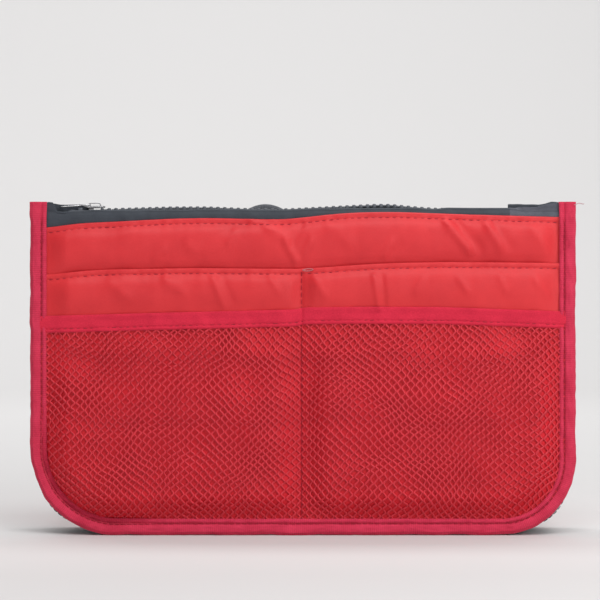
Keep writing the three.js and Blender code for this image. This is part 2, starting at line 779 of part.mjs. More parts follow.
function sideZip() {
  const zip = new THREE.Group();
  for (const [name, side] of [["front", -1], ["back", 1]]) {
    add(zip, `side_zip_${name}_tape`, sideTape(side), "greyTape");
    add(zip, `side_zip_${name}_teeth`, sideTeeth(side), "greyTeeth");
    add(zip, `side_zip_${name}_left_stop`, sideStop(side, -1), "greyTeeth");
    add(zip, `side_zip_${name}_right_stop`, sideStop(side, 1), "greyTeeth");
  }
  const slider = new THREE.Group();
  slider.position.set(width / 2 - sideInset + sideMid, 0, sideSliderZ);
  slider.rotation.y = Math.PI / 2;
  add(slider, "side_zip_slider", sliderGeometry(), "silverMetal");
  const pull = add(slider, "side_zip_pull", pullGeometry(0), "silverMetal");
  pull.position.set(pullSet, 0, pullAxis);
  pull.rotation.z = Math.PI;
  zip.add(slider);
  return zip;
}

const frontHandleLine = [
  [-47, 106],
  [-46, 130],
  [-38, 152],
  [-20, 163.6],
  [-2, 154],
  [18, 131],
  [41, 106],
];
const backHandleLine = [
  [-42, 110],
  [-38, 128],
  [-24, 145],
  [0, 151],
  [24, 145],
  [38, 128],
  [42, 110],
];

organizer.add(frontWall(), topZip(), sideZip(), backWall());
add(organizer, "gusset", gusset(), "greyLining");
add(organizer, "front_handle", handle(frontHandleLine, -1), "greyTape");
add(organizer, "back_handle", handle(backHandleLine, 1), "greyTape");

export default organizer;
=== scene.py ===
import math

import bpy
import numpy as np
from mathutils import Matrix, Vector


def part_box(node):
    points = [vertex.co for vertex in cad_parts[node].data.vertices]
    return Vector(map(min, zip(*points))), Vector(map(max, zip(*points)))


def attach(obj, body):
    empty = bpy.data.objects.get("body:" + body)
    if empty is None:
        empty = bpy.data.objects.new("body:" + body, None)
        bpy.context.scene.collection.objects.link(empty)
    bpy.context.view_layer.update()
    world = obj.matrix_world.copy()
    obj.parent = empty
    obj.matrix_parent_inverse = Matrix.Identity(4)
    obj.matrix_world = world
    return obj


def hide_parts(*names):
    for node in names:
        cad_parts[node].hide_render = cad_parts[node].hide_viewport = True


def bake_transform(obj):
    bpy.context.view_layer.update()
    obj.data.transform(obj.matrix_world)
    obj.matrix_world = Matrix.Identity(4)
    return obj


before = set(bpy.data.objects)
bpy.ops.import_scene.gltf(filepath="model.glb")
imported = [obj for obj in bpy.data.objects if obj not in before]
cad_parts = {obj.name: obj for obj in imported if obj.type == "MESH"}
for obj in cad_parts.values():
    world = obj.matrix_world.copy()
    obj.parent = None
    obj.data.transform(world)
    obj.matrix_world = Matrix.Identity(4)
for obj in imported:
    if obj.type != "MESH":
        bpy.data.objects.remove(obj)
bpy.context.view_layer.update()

# Lengths are in millimetres, in the frame of the CAD: +X right, +Y away, +Z up. makeMesh turns
# them into metres.
mm = 0.001


def nodeBox(node):
    low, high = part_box(node)
    return np.array(low) / mm, np.array(high) / mm


edgeLow, edgeHigh = nodeBox("front_binding")
wall = {
    "left": edgeLow[0],
    "right": edgeHigh[0],
    "top": edgeHigh[2],
    "leftRadius": 44.5,
    "rightRadius": 38.5,
    "bindingWidth": 8.6,
    "outer": -edgeLow[1],   # how far the binding's face stands from the middle
    "inner": -edgeHigh[1],
    "inset": 1.4,           # a layer's edge, hidden in the binding
    "free": 8.2,            # from here inwards the cloth can swell
    "seamX": -0.6,          # the seam down the middle of the pockets
}
panelOut = -nodeBox("front_panel")[0][1]
cardOut = -nodeBox("front_card_pocket")[0][1]
netOut = -nodeBox("front_mesh_pocket")[0][1]
liningIn = -nodeBox("front_lining")[0][1] - 0.5   # the lining's inner face


def stacked(*columns):
    # points, from columns of numbers that are stretched to match
    return np.stack(np.broadcast_arrays(*columns), -1)


def unit(v):
    return v / np.linalg.norm(v, axis=-1, keepdims=True)


def lengthAlong(points):
    return np.concatenate([[0], np.cumsum(np.linalg.norm(np.diff(points, axis=0), axis=1))])


def readAt(at, s, points):
    # points (n, k), spaced s along a line, read off at the distances `at`
    return np.stack([np.interp(at, s, column) for column in points.T], -1)


def smooth(t):
    t = np.clip(t, 0, 1)
    return t * t * (3 - 2 * t)


def bell(t, width):
    return np.exp(-(t / width) ** 2)


def halfSine(t, power=1.0):
    # half a sine wave as t goes from 0 to 1, and 0 outside
    return np.sin(math.pi * np.clip(t, 0, 1)) ** power


def pulled(x, pitch, share):
    # how far a row of stitches draws cloth in: 1 at a stitch, less by twice the share between two
    return 1 - share + share * np.cos(2 * math.pi * x / pitch)


def roundOff(t):
    # a quarter circle: 1 at an edge, where t is 0, and 0 from t = 1 inwards
    return 1 - np.sqrt(1 - np.clip(1 - t, 0, 1) ** 2)


def softNoise(x, z, size, seed, waves=16):
    # sum of sine waves that run in all directions, wavelengths about size, worth about -1 to 1
    rng = np.random.default_rng(seed)
    total = 0
    for _ in range(waves):
        turn, length = rng.uniform(0, 2 * math.pi), size * rng.uniform(0.7, 1.6)
        along = x * math.cos(turn) + z * math.sin(turn)
        total = total + np.sin(along * 2 * math.pi / length + rng.uniform(0, 7))
    return total / math.sqrt(waves) / 1.3


def softLine(x, xs, zs, spread=9):
    # straight lines through the points (xs, zs), rounded by averaging over two spreads each way
    steps = np.linspace(-2, 2, 9)
    weights = np.exp(-steps ** 2)
    x = np.asarray(x, float)[..., None] + steps * spread
    return (np.interp(x, xs, zs) * weights).sum(-1) / weights.sum()


def crease(x, z, line, width, height):
    # a soft ridge along the straight line (x0, z0, x1, z1), fading at both ends
    x0, z0, x1, z1 = line
    dx, dz = x1 - x0, z1 - z0
    length = math.hypot(dx, dz)
    along = ((x - x0) * dx + (z - z0) * dz) / length
    across = ((x - x0) * dz - (z - z0) * dx) / length
    start, end = (smooth((t + width) / (2 * width)) for t in (along, length - along))
    return height * start * end * bell(across, width)


def addObject(name, data):
    piece = bpy.data.objects.new(name, data)
    bpy.context.scene.collection.objects.link(piece)
    return piece


def signedVolume(verts, quads, caps):
    # six times the volume inside, less than nought where the faces point inwards
    a, b, c, d = (verts[quads[:, i]] for i in range(4))
    total = np.sum(a * np.cross(b, c)) + np.sum(a * np.cross(c, d))
    for cap in caps:
        ring = verts[cap]
        total += np.sum(ring[0] * np.cross(ring[1:-1], ring[2:]))
    return total


def makeMesh(name, verts, quads, uv, material, caps=()):
    # quads (k, 4), caps a list of longer faces, uv for each vertex, or (k, 4, 2) for each corner
    # of the quads. Turned so that its faces point outwards.
    verts = verts.reshape(-1, 3)
    if signedVolume(verts, quads, caps) < 0:
        quads, caps = quads[:, ::-1], [cap[::-1] for cap in caps]
        uv = uv[:, ::-1] if uv.ndim == 3 else uv
    corners = np.concatenate([quads.ravel(), *caps])
    if uv.ndim == 3:
        cornerUv = np.zeros((len(corners), 2))
        cornerUv[:quads.size] = uv.reshape(-1, 2)
    else:
        cornerUv = uv.reshape(-1, 2)[corners]
    mesh = bpy.data.meshes.new(name)
    mesh.from_pydata((verts * mm).tolist(), [], quads.tolist() + list(caps))
    mesh.shade_smooth()
    mesh.uv_layers.new(name="UVMap").data.foreach_set("uv", (cornerUv * mm).ravel())
    mesh.validate()
    mesh.materials.append(bpy.data.materials[material])
    return addObject(name, mesh)


def place(piece, body, slot=None, node=None):
    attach(piece, body)
    if node:
        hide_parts(node)
    return piece


def gridQuads(rows, columns, wrap=False, around=False):
    # quads between neighbours on a rows x columns grid; wrap joins the last column to the first
    # and around the last row to the first
    i, j = np.meshgrid(np.arange(rows if around else rows - 1),
                       np.arange(columns if wrap else columns - 1), indexing="ij")
    h, k = (i + 1) % rows, (j + 1) % columns
    corners = [i * columns + j, h * columns + j, h * columns + k, i * columns + k]
    return np.stack(corners, -1).reshape(-1, 4)


def endFaces(n, m):
    # the faces on the first and the last of n rings of m points
    return [list(range(m)), list(range((n - 1) * m, n * m))[::-1]]


def sheetShell(name, face, back, uv, material):
    # a closed sheet between two grids of the same size, joined round their rims
    count = face.shape[0] * face.shape[1]
    front = gridQuads(*face.shape[:2])
    index = np.arange(count).reshape(face.shape[:2])
    rim = np.concatenate([index[0, :-1], index[:-1, -1], index[-1, :0:-1], index[:0:-1, 0]])
    after = np.roll(rim, -1)
    edge = stacked(rim, after, after + count, rim + count)
    quads = np.concatenate([front, front[:, ::-1] + count, edge])
    return makeMesh(name, np.stack([face, back]), quads, np.stack([uv, uv]), material)


def layer(name, x, z, near, far, material, uv=None, lower=0.0):
    # a sheet over a grid of x and z, between two depths; `lower` sets its back down a little
    face = stacked(x, near, z)
    back = stacked(x, far, z - lower)
    return sheetShell(name, face, back, stacked(*(uv or (x, z))), material)


def tube(name, rings, uLine, vLine, material):
    # rings (n, m, 3): closed sections one after another, with an end face on the first and last
    n, m = rings.shape[:2]
    i, j = np.meshgrid(np.arange(n - 1), np.arange(m), indexing="ij")
    vWrap = np.append(vLine, vLine[-1] + (vLine[1] - vLine[0]))
    cornerUv = [stacked(uLine[a], vWrap[b])
                for a, b in ((i, j), (i + 1, j), (i + 1, j + 1), (i, j + 1))]
    return makeMesh(name, rings, gridQuads(n, m, wrap=True),
                    np.stack(cornerUv, -2).reshape(-1, 4, 2), material, endFaces(n, m))


def manyOf(name, shape, frames, material):
    # copies of one small closed shape; frames (k, 3, 4) hold each copy's three axes and place
    verts, quads, caps = shape
    k, m = len(frames), len(verts)
    placed = np.einsum("kij,mj->kmi", frames[:, :, :3], verts) + frames[:, None, :, 3]
    allQuads = (quads + np.arange(k)[:, None, None] * m).reshape(-1, 4)
    allCaps = [[v + s * m for v in cap] for s in range(k) for cap in caps]
    return makeMesh(name, placed, allQuads, np.tile(verts[:, :2], (k, 1)), material, allCaps)


def loftParts(name, parts, material):
    # several closed shapes in one piece: each part is rings of points, with a face on its first
    # and last ring, or a closed loop where those two are the same
    verts, quads, caps, uv, base = [], [], [], [], 0
    for rings in parts:
        closed = np.allclose(rings[0], rings[-1])
        rings = rings[:-1] if closed else rings
        n, m = rings.shape[:2]
        flat = rings.reshape(-1, 3)
        partQuads = gridQuads(n, m, wrap=True, around=closed)
        ends = [] if closed else endFaces(n, m)
        if signedVolume(flat - flat.mean(0), partQuads, ends) < 0:
            partQuads, ends = partQuads[:, ::-1], [end[::-1] for end in ends]
        verts.append(flat)
        quads.append(partQuads + base)
        caps += [[i + base for i in end] for end in ends]
        uv.append(stacked(np.repeat(np.arange(n) * 0.9, m), np.tile(np.arange(m) * 0.35, n)))
        base += n * m
    return makeMesh(name, np.concatenate(verts), np.concatenate(quads), np.concatenate(uv),
                    material, caps)


def roundedOutline(halfLong, halfWide, count, power=1.0, taper=0.0, turned=0.0):
    # a circle or a squarish ellipse, turned by a number of steps; taper narrows it towards +X
    turn = (np.arange(count) + turned) * 2 * math.pi / count
    c, s = (np.sign(v) * np.abs(v) ** power for v in (np.cos(turn), np.sin(turn)))
    return stacked(halfLong * c, halfWide * s * (1 - taper * c))


def drawnIn(z, inset, radius):
    # how far in from a side the outline is at a height: the inset, and round the corner the arc
    drop = np.clip(radius - z, 0, radius - inset)
    return radius - np.sqrt((radius - inset) ** 2 - drop ** 2)


def fromEdge(x, z):
    # distance in from the wall's left, bottom and right edges
    d = np.minimum(np.minimum(x - wall["left"], wall["right"] - x), z)
    for side, way in (("left", -1), ("right", 1)):
        radius = wall[side + "Radius"]
        past = way * (x - wall[side]) + radius
        d = np.where((past > 0) & (z < radius), radius - np.hypot(past, radius - z), d)
    return d


def lowerLeft(x, z):
    # 1 round the lower left corner, 0 elsewhere
    return smooth((70 - z) / 30) * smooth((-68 - x) / 30)


def edgePath(inset, top, leftRadius, rightRadius, step):
    # points down the left side, round the bottom and up the right side, evenly spaced, with
    # their outward directions and distances along
    left, right = wall["left"] + inset, wall["right"] - inset
    rl, rr = leftRadius - inset, rightRadius - inset
    lengths = [top - inset - rl, math.pi / 2 * rl, right - left - rl - rr, math.pi / 2 * rr,
               top - inset - rr]
    ends = np.cumsum(lengths)
    s = np.linspace(0, ends[-1], int(ends[-1] / step) + 1)
    a = np.clip((s - ends[0]) / rl, 0, math.pi / 2)
    b = np.clip((s - ends[2]) / rr, 0, math.pi / 2)
    turn = math.pi + a + b
    x = left + rl + rl * np.cos(math.pi + a) + np.clip(s - ends[1], 0, lengths[2])
    x = np.where(s > ends[2], right - rr + rr * np.sin(b), x)
    z = np.where(s > ends[2], inset + rr - rr * np.cos(b), inset + rl + rl * np.sin(math.pi + a))
    z = np.where(s < ends[0], top - s, z)
    z = np.where(s > ends[3], inset + rr + s - ends[3], z)
    return {"x": x, "z": z, "out": stacked(np.cos(turn), np.sin(turn)), "s": s}


def strapPath(line):
    # a line of (x, z) as a path, its outward directions at right angles to it
    ahead = unit(np.gradient(line, axis=0))
    return {"x": line[:, 0], "z": line[:, 1], "out": stacked(-ahead[:, 1], ahead[:, 0])}


def carried(path, outward, depth):
    # a section, given as distances outward and depths, carried along a path
    x, z, out = path["x"][:, None], path["z"][:, None], path["out"]
    return stacked(x + out[:, :1] * outward, depth, z + out[:, 1:] * outward)


def wallGrid(topLine, inset, bottom, spacing, columns, fine=6, fineStep=0.35):
    # a grid of x and z over the wall from the bottom edge to the top line, close rows at the top
    middle = float(np.mean(topLine(np.linspace(-120, 120, 25))))
    coarse = np.linspace(bottom, middle - fine, max(3, int((middle - fine - bottom) / spacing)))
    close = np.arange(middle - fine, middle - fineStep / 2, fineStep)
    heights = np.concatenate([coarse[:-1], close, [middle]])[:, None]
    left = wall["left"] + drawnIn(heights, inset, wall["leftRadius"])
    right = wall["right"] - drawnIn(heights, inset, wall["rightRadius"])
    x = left + (right - left) * np.linspace(0, 1, columns)
    return x, bottom + (heights - bottom) / (middle - bottom) * (topLine(x) - bottom)


def put(tree, kind, inputs, **settings):
    # a new node; each input gets a number, a colour or another node's output
    node = tree.nodes.new(kind)
    for key, value in settings.items():
        setattr(node, key, value)
    connect(tree, node, inputs)
    return node


def connect(tree, node, inputs):
    for key, value in inputs.items():
        if isinstance(value, bpy.types.NodeSocket):
            tree.links.new(value, node.inputs[key])
        else:
            node.inputs[key].default_value = value


def startMaterial(name):
    material = bpy.data.materials.new(name)
    material.use_nodes = True
    return material.node_tree, material.node_tree.nodes["Principled BSDF"]


def sums(tree, operation, *values):
    return put(tree, "ShaderNodeMath", dict(enumerate(values)), operation=operation).outputs[0]


def scaledSum(tree, a, scale, b):
    # a times a number, and b added
    return sums(tree, "ADD", sums(tree, "MULTIPLY", a, scale), b)


def noiseOf(tree, place, size, detail, roughness=0.5):
    inputs = {"Vector": place, "Scale": 1 / (size * mm), "Detail": detail, "Roughness": roughness}
    return put(tree, "ShaderNodeTexNoise", inputs).outputs[0]


def rampOf(tree, factor, stops):
    # colours (r, g, b) at places along a ramp
    ramp = put(tree, "ShaderNodeValToRGB", {0: factor})
    elements = ramp.color_ramp.elements
    for k, (at, colour) in enumerate(stops):
        stop = elements[k] if k < 2 else elements.new(at)
        stop.position, stop.color = at, (*colour, 1)
    return ramp.outputs[0]


def waveOf(tree, axis, period):
    # 0.5 + 0.5 sin(2 pi t / period) of one coordinate, the period in millimetres
    wave = sums(tree, "SINE", sums(tree, "MULTIPLY", axis, 2 * math.pi / (period * mm)))
    return sums(tree, "MULTIPLY_ADD", wave, 0.5, 0.5)


def bumpOf(tree, height, strength, distance):
    inputs = {"Strength": strength, "Distance": distance * mm, "Height": height}
    return put(tree, "ShaderNodeBump", inputs).outputs[0]


def clothMaterial(name, dark, light, weave, roughness, bump, mottle=22, sheen=0.0, ribs=None,
                  specular=0.4, fleck=0.25):
    # woven cloth: crossing threads of the weave's pitch, in mm, as bump and slight colour, over
    # a slow mottle between two colours. ribs is (axis, pitch, share) for a ribbed tape.
    tree, shader = startMaterial(name)
    uv = put(tree, "ShaderNodeTexCoord", {}).outputs["UV"]
    axes = put(tree, "ShaderNodeSeparateXYZ", {0: uv}).outputs
    crossing = sums(tree, "ADD", waveOf(tree, axes[0], weave[0]), waveOf(tree, axes[1], weave[1]))
    threads = sums(tree, "MULTIPLY", crossing, 0.5)
    if ribs:
        axis, pitch, share = ribs
        threads = scaledSum(tree, waveOf(tree, axes[axis], pitch), share,
                            sums(tree, "MULTIPLY", threads, 1 - share))
    slow = noiseOf(tree, uv, mottle, 5, 0.6)
    quick = noiseOf(tree, uv, 1 / 1.4, 3)
    shade = scaledSum(tree, slow, 1 - fleck, sums(tree, "MULTIPLY", quick, fleck))
    shade = scaledSum(tree, threads, 0.18, shade)
    connect(tree, shader, {
        "Base Color": rampOf(tree, shade, [(0.38, dark), (0.78, light)]),
        "Normal": bumpOf(tree, scaledSum(tree, quick, 0.35, threads), *bump),
        "Roughness": scaledSum(tree, slow, 0.16, roughness - 0.08),
        "Sheen Weight": sheen,
        "Sheen Roughness": 0.45,
        "Specular IOR Level": specular,
    })


def solidMaterial(name, dark, light, roughness, metallic=0.0, bump=(0.1, 0.02), grain=1.2,
                  scratch=0.0):
    # moulded plastic or plated metal: a fine grain in colour, roughness and bump
    tree, shader = startMaterial(name)
    noise = noiseOf(tree, put(tree, "ShaderNodeTexCoord", {}).outputs["Object"], grain, 4)
    connect(tree, shader, {
        "Base Color": rampOf(tree, noise, [(0.35, dark), (0.7, light)]),
        "Normal": bumpOf(tree, noise, *bump),
        "Roughness": scaledSum(tree, noise, 0.12 + scratch, roughness - 0.06),
        "Metallic": metallic,
    })


# what all sewing threads share
threadLook = ((0.5, 0.35), 0.6, (0.5, 0.05), {"mottle": 10, "specular": 0.3})
# name: darkest and palest colour, weave, roughness, bump's strength and depth, and the rest
for name, *look, rest in (
        ("redNylon", (0.54, 0.0155, 0.022), (0.645, 0.026, 0.032), (0.34, 0.34), 0.52, (0.25, 0.05),
         {"sheen": 0.06, "specular": 0.34}),
        ("crimsonTape", (0.44, 0.0125, 0.044), (0.61, 0.033, 0.083), (0.5, 0.42), 0.72, (0.7, 0.16),
         {"mottle": 9, "sheen": 0.15, "ribs": (0, 1.05, 0.75), "specular": 0.22}),
        ("bandTape", (0.48, 0.009, 0.033), (0.67, 0.024, 0.058), (0.45, 0.5), 0.75, (0.7, 0.14),
         {"mottle": 8, "sheen": 0.08, "specular": 0.2, "fleck": 0.5}),
        ("redNet", (0.46, 0.014, 0.028), (0.65, 0.027, 0.043), (0.3, 0.3), 0.5, (0.4, 0.05),
         {"mottle": 14, "sheen": 0.05, "specular": 0.35}),
        # the sewing thread is darker than the nylon: partly its own colour, partly painted shade of
        # the sunken stitch lines
        ("redThread", (0.26, 0.006, 0.019), (0.39, 0.013, 0.032), *threadLook),
        # a darker copy of redNylon for the cloth behind the net: partly painted shade from the net,
        # partly the net's dark ground
        ("deepNylon", (0.51, 0.0085, 0.018), (0.67, 0.016, 0.028), (0.34, 0.34), 0.55, (0.25, 0.05),
         {"specular": 0.25}),
        ("tapeTab", (0.050, 0.054, 0.070), (0.105, 0.110, 0.135), (0.6, 0.45), 0.7, (0.6, 0.1),
         {"mottle": 8, "sheen": 0.1, "ribs": (1, 0.9, 0.3), "specular": 0.25}),
        ("paleThread", (0.36, 0.16, 0.18), (0.55, 0.30, 0.32), *threadLook),
        ("greyThread", (0.045, 0.05, 0.06), (0.08, 0.085, 0.10), *threadLook),
        ("zipTape", (0.022, 0.027, 0.036), (0.046, 0.053, 0.067), (0.6, 0.45), 0.62, (0.5, 0.08),
         {"mottle": 12, "sheen": 0.1, "ribs": (1, 0.9, 0.3), "specular": 0.3}),
        ("greyLining", (0.075, 0.08, 0.092), (0.12, 0.127, 0.143), (0.38, 0.38), 0.5, (0.3, 0.05),
         {"mottle": 25, "sheen": 0.1}),
        ("greyWebbing", (0.05, 0.053, 0.062), (0.13, 0.135, 0.15), (0.9, 0.8), 0.78, (0.9, 0.22),
         {"mottle": 7, "sheen": 0.2, "ribs": (1, 1.3, 0.35), "specular": 0.2}),
        ("whiteFoam", (0.66, 0.65, 0.62), (0.82, 0.81, 0.78), (1.3, 1.1), 0.9, (0.6, 0.2),
         {"mottle": 5, "specular": 0.1, "fleck": 0.6})):
    clothMaterial(name, *look, **rest)
solidMaterial("zipTeeth", (0.060, 0.066, 0.079), (0.098, 0.106, 0.124), 0.45)
solidMaterial("sliderMetal", (0.26, 0.26, 0.27), (0.44, 0.44, 0.45), 0.3, 1.0, (0.05, 0.02))
solidMaterial("silverMetal", (0.42, 0.42, 0.43), (0.62, 0.62, 0.63), 0.26, 1.0, (0.08, 0.01),
              0.7, 0.1)
print("materials made")


def lineOn(x, y, z, way):
    # a line of points, and the way their stitches face: 1 to the back, -1 to the front
    points = stacked(x, y, z)
    return points, np.tile([0.0, way, 0.0], (len(points), 1))


def stitchShape(length, radius):
    # a thread's bight: a six-sided bead of round section that dips into the cloth at both ends
    t = np.linspace(-1, 1, 6)[:, None]
    swell = np.sqrt(np.clip(1 - 0.82 * t ** 4, 0, 1)) * radius
    y, z = roundedOutline(1, 1, 6).T
    verts = stacked(t * length / 2, swell * y, swell * z + 0.55 * radius * (1 - t ** 4))
    return verts.reshape(-1, 3), gridQuads(6, 6, wrap=True), endFaces(6, 6)


def stitchFrames(points, outward, pitch):
    # places along a line of points, one every pitch, each with its axes: along, across, outward
    s = lengthAlong(points)
    at = np.arange(pitch / 2, s[-1] - pitch / 3, pitch)
    along = unit(readAt(at + pitch / 3, s, points) - readAt(at - pitch / 3, s, points))
    across = unit(np.cross(readAt(at, s, outward), along))
    return stacked(along, across, np.cross(along, across), readAt(at, s, points))


def stitchLines(name, lines, pitch, material, body, length=0.8, radius=0.19):
    # lines is a list of (points, outward directions)
    frames = np.concatenate([stitchFrames(*line, pitch) for line in lines])
    return place(manyOf(name, stitchShape(pitch * length, radius), frames, material), body)


# The cloth's simulation runs in centimetres, on a grid with a step in millimetres. What it gives
# is kept between the two furthest heights.
cloth = {"step": 2.0, "scale": 0.1, "frames": 32, "furthestIn": 0.8, "furthestOut": 5.0}
clothSettings = {
    "quality": 6, "mass": 0.15, "air_damping": 2,
    "tension_stiffness": 40, "compression_stiffness": 40, "shear_stiffness": 20,
    "tension_damping": 10, "compression_damping": 10, "shear_damping": 10,
    "vertex_group_mass": "held", "use_pressure": True,
}


def heldCloth(width, height, seams, seed, slack, push, bend):
    # A strip of cloth, cut a little too large for the frame that it is sewn to, is held along its
    # edges and seams and pressed out by the padding behind it. What comes back is how far each
    # point of its grid stands out, averaged with its neighbours twice along X and along Z.
    columns, rows = int(width / cloth["step"]) + 1, int(height / cloth["step"]) + 1
    x, z = np.meshgrid(np.linspace(0, width, columns), np.linspace(0, height, rows), indexing="ij")
    start = 0.5 * softNoise(x, z, 26, seed) * np.sin(math.pi * z / height)
    verts = stacked(x, start, z).reshape(-1, 3) * cloth["scale"]
    mesh = bpy.data.meshes.new("strip")
    mesh.from_pydata(verts.tolist(), [], gridQuads(columns, rows).tolist())
    strip = addObject("strip", mesh)
    held = (x == 0) | (x == width) | (z == 0) | (z == height)
    for seam in seams:
        held |= np.abs(x + wall["left"] - seam) <= cloth["step"] / 2
    strip.vertex_groups.new(name="held").add(np.flatnonzero(held.ravel()).tolist(), 1.0, "REPLACE")
    modifier = strip.modifiers.new("cloth", "CLOTH")
    for key, value in clothSettings.items():
        setattr(modifier.settings, key, value)
    modifier.settings.bending_stiffness = bend
    modifier.settings.shrink_min = modifier.settings.shrink_max = -slack
    modifier.settings.uniform_pressure_force = push
    modifier.settings.effector_weights.gravity = 0
    modifier.collision_settings.use_collision = False
    modifier.point_cache.frame_end = cloth["frames"]
    for step in range(1, cloth["frames"] + 1):
        bpy.context.scene.frame_set(step)
    shaped = strip.evaluated_get(bpy.context.evaluated_depsgraph_get())
    moved = np.empty(len(verts) * 3)
    shaped.data.vertices.foreach_get("co", moved)
    out = -moved.reshape(columns, rows, 3)[..., 1] / cloth["scale"]
    bpy.data.objects.remove(strip)
    bpy.data.meshes.remove(mesh)
    bpy.context.scene.frame_set(1)
    out = np.clip(out, -cloth["furthestIn"], cloth["furthestOut"])
    for _ in range(4):
        padded = np.pad(out, [(1, 1), (0, 0)], mode="edge")
        out = ((padded[:-2] + 2 * padded[1:-1] + padded[2:]) / 4).T
    return out


def readOff(heights, x, z, low, high):
    # the simulated height at points of the wall: straight lines between the four nearest points
    # of the grid, which is stretched from the wall's left to its right and from low to high
    columns, rows = heights.shape
    i = np.clip((x - wall["left"]) / (wall["right"] - wall["left"]), 0, 1) * (columns - 1)
    j = np.clip((z - low) / (high - low), 0, 1) * (rows - 1)
    i0, j0 = np.minimum(i.astype(int), columns - 2), np.minimum(j.astype(int), rows - 2)
    a, b = i - i0, j - j0
    return ((heights[i0, j0] * (1 - a) + heights[i0 + 1, j0] * a) * (1 - b)
            + (heights[i0, j0 + 1] * (1 - a) + heights[i0 + 1, j0 + 1] * a) * b)


hem = {"fold": 3.4, "stitch": 2.85, "thick": 0.5, "groove": 0.62, "grooveWidth": 0.55, "pitch": 3.6}

# Each wall has a panel, a high slip pocket on it and a low pocket on that. The lines are heights
# along X of their top edges, and a crease is ((x0, z0, x1, z1), width, height).
frontWall = {
    "side": -1,
    "word": "front",
    "panelLine": ([-131, -116, -96, -67, -48, -9, 0, 12, 28, 48, 67, 87, 106, 130],
                  [157.5, 160.0, 160.8, 162.4, 162.7, 161.8, 162.9, 164.4, 165.6, 165.8, 165.1,
                   164.4, 163.9, 163.2]),
    "highLine": ([-131, -106, -57, -2, 5, 39, 70, 106, 130],
                 [133.5, 136.2, 137.0, 136.6, 137.0, 139.4, 140.1, 139.9, 139.6]),
    "lowLine": ([-131, -77, -4, 1, 30, 70, 132], [112.0, 113.5, 115.3, 116.4, 116.7, 116.6, 114.4]),
    "lowSpread": 2,
    "lowDrawn": (7.5, 0.5),   # the width and share that the seams draw in below the low line
    "topHeld": 2.4,           # down to here the top edge is held flat
    "topSunk": 0.0,
    "cornerSunk": 2.6,        # how far the cloth drops behind the binding at the lower left
    "highSeams": [-0.6],
    "lowSeams": [-0.6],
    "seed": 0,
    "panelCreases": [
        ((72, 162, 86, 145), 1.7, 1.5), ((78, 161, 92, 146), 2.2, -1.0),
        ((93, 161, 102, 146), 1.9, 1.1), ((98, 160, 107, 147), 2.2, -0.6),
        ((46, 152, 41, 142), 1.8, 0.7), ((51, 151, 46, 143), 2.0, -0.5),
        ((-10, 152, -2, 138), 1.6, 1.2), ((5, 153, 0, 143), 1.5, 0.9),
        ((-6, 148, 0, 160), 1.7, -0.7), ((-20, 158, -6, 151), 1.9, 0.8),
        ((-39, 148, -34, 156), 1.7, 0.8), ((-52, 150, -36, 157), 2.4, -0.6),
        ((-70, 148, -77, 141), 1.8, 0.7), ((-61, 151, -54, 144), 2.0, 0.5),
        ((-27, 161, -12, 157), 1.8, 0.6), ((12, 160, 26, 148), 3.0, 0.5),
        ((-100, 150, -84, 158), 3.5, 0.4), ((116, 158, 126, 146), 2.2, 0.6),
    ],
    "highCreases": [
        ((-47, 134, -40, 116), 1.7, 0.65), ((-42, 134, -35, 118), 1.9, -0.4),
        ((36, 134, 39, 115), 1.3, 0.7), ((40.5, 134, 42, 116), 1.3, -0.6),
        ((79, 132, 85, 124), 1.7, 0.7), ((-100, 130, -88, 121), 2.4, 0.5),
        ((-72, 132, -60, 124), 2.2, 0.6), ((118, 132, 127, 121), 2.0, 0.7),
        ((4, 134, 12, 122), 1.8, 0.6), ((-18, 134, -12, 124), 1.7, 0.5),
        ((62, 134, 57, 124), 1.8, 0.5), ((100, 134, 104, 124), 1.8, 0.5),
    ],
}
backWall = {
    "side": 1,
    "word": "back",
    "panelLine": ([-131, 0, 131], [163.0, 163.1, 163.0]),
    "highLine": ([-131, -60, 10, 80, 131], [133.2, 134.3, 133.9, 134.6, 133.6]),
    "lowLine": ([-131, -70, 0, 70, 131], [91.4, 92.4, 91.9, 92.5, 91.6]),
    "lowSpread": 9,
    "lowDrawn": (4.5, 0.92),
    "topHeld": 9.5,
    "topSunk": 0.7,
    "cornerSunk": 0.0,
    "highSeams": [0.0],
    "lowSeams": [-44.0, 44.0],
    "seed": 60,
    "panelCreases": [
        ((-112, 151, -100, 139), 1.8, 0.9), ((-60, 152, -48, 139), 1.9, 1.0),
        ((-53, 152, -41, 141), 1.8, -0.6), ((-8, 151, 4, 140), 1.8, 0.8),
        ((30, 150, 44, 138), 1.8, 1.0), ((38, 152, 50, 141), 1.7, -0.6),
        ((90, 152, 84, 139), 1.7, 0.9), ((108, 150, 118, 140), 1.8, 0.8),
    ],
    "highCreases": [
        ((-98, 129, -84, 100), 2.0, 1.0), ((-92, 129, -79, 104), 1.8, -0.6),
        ((-62, 126, -70, 104), 2.0, 0.8), ((-30, 129, -18, 102), 1.9, 1.0),
        ((-8, 128, -2, 108), 1.5, 0.8), ((7, 129, 2, 110), 1.5, 0.7),
        ((24, 128, 36, 104), 2.0, 1.0), ((68, 128, 57, 100), 2.0, 0.9),
        ((74, 128, 64, 104), 1.8, -0.5), ((98, 128, 114, 106), 2.0, 1.0),
        ((-124, 122, -112, 112), 1.8, 0.7), ((120, 118, 128, 128), 1.8, 0.6),
    ],
}


def lineOf(wallSide, name, x):
    spread = wallSide["lowSpread"] if name == "low" else 9
    return softLine(x, *wallSide[name + "Line"], spread=spread)


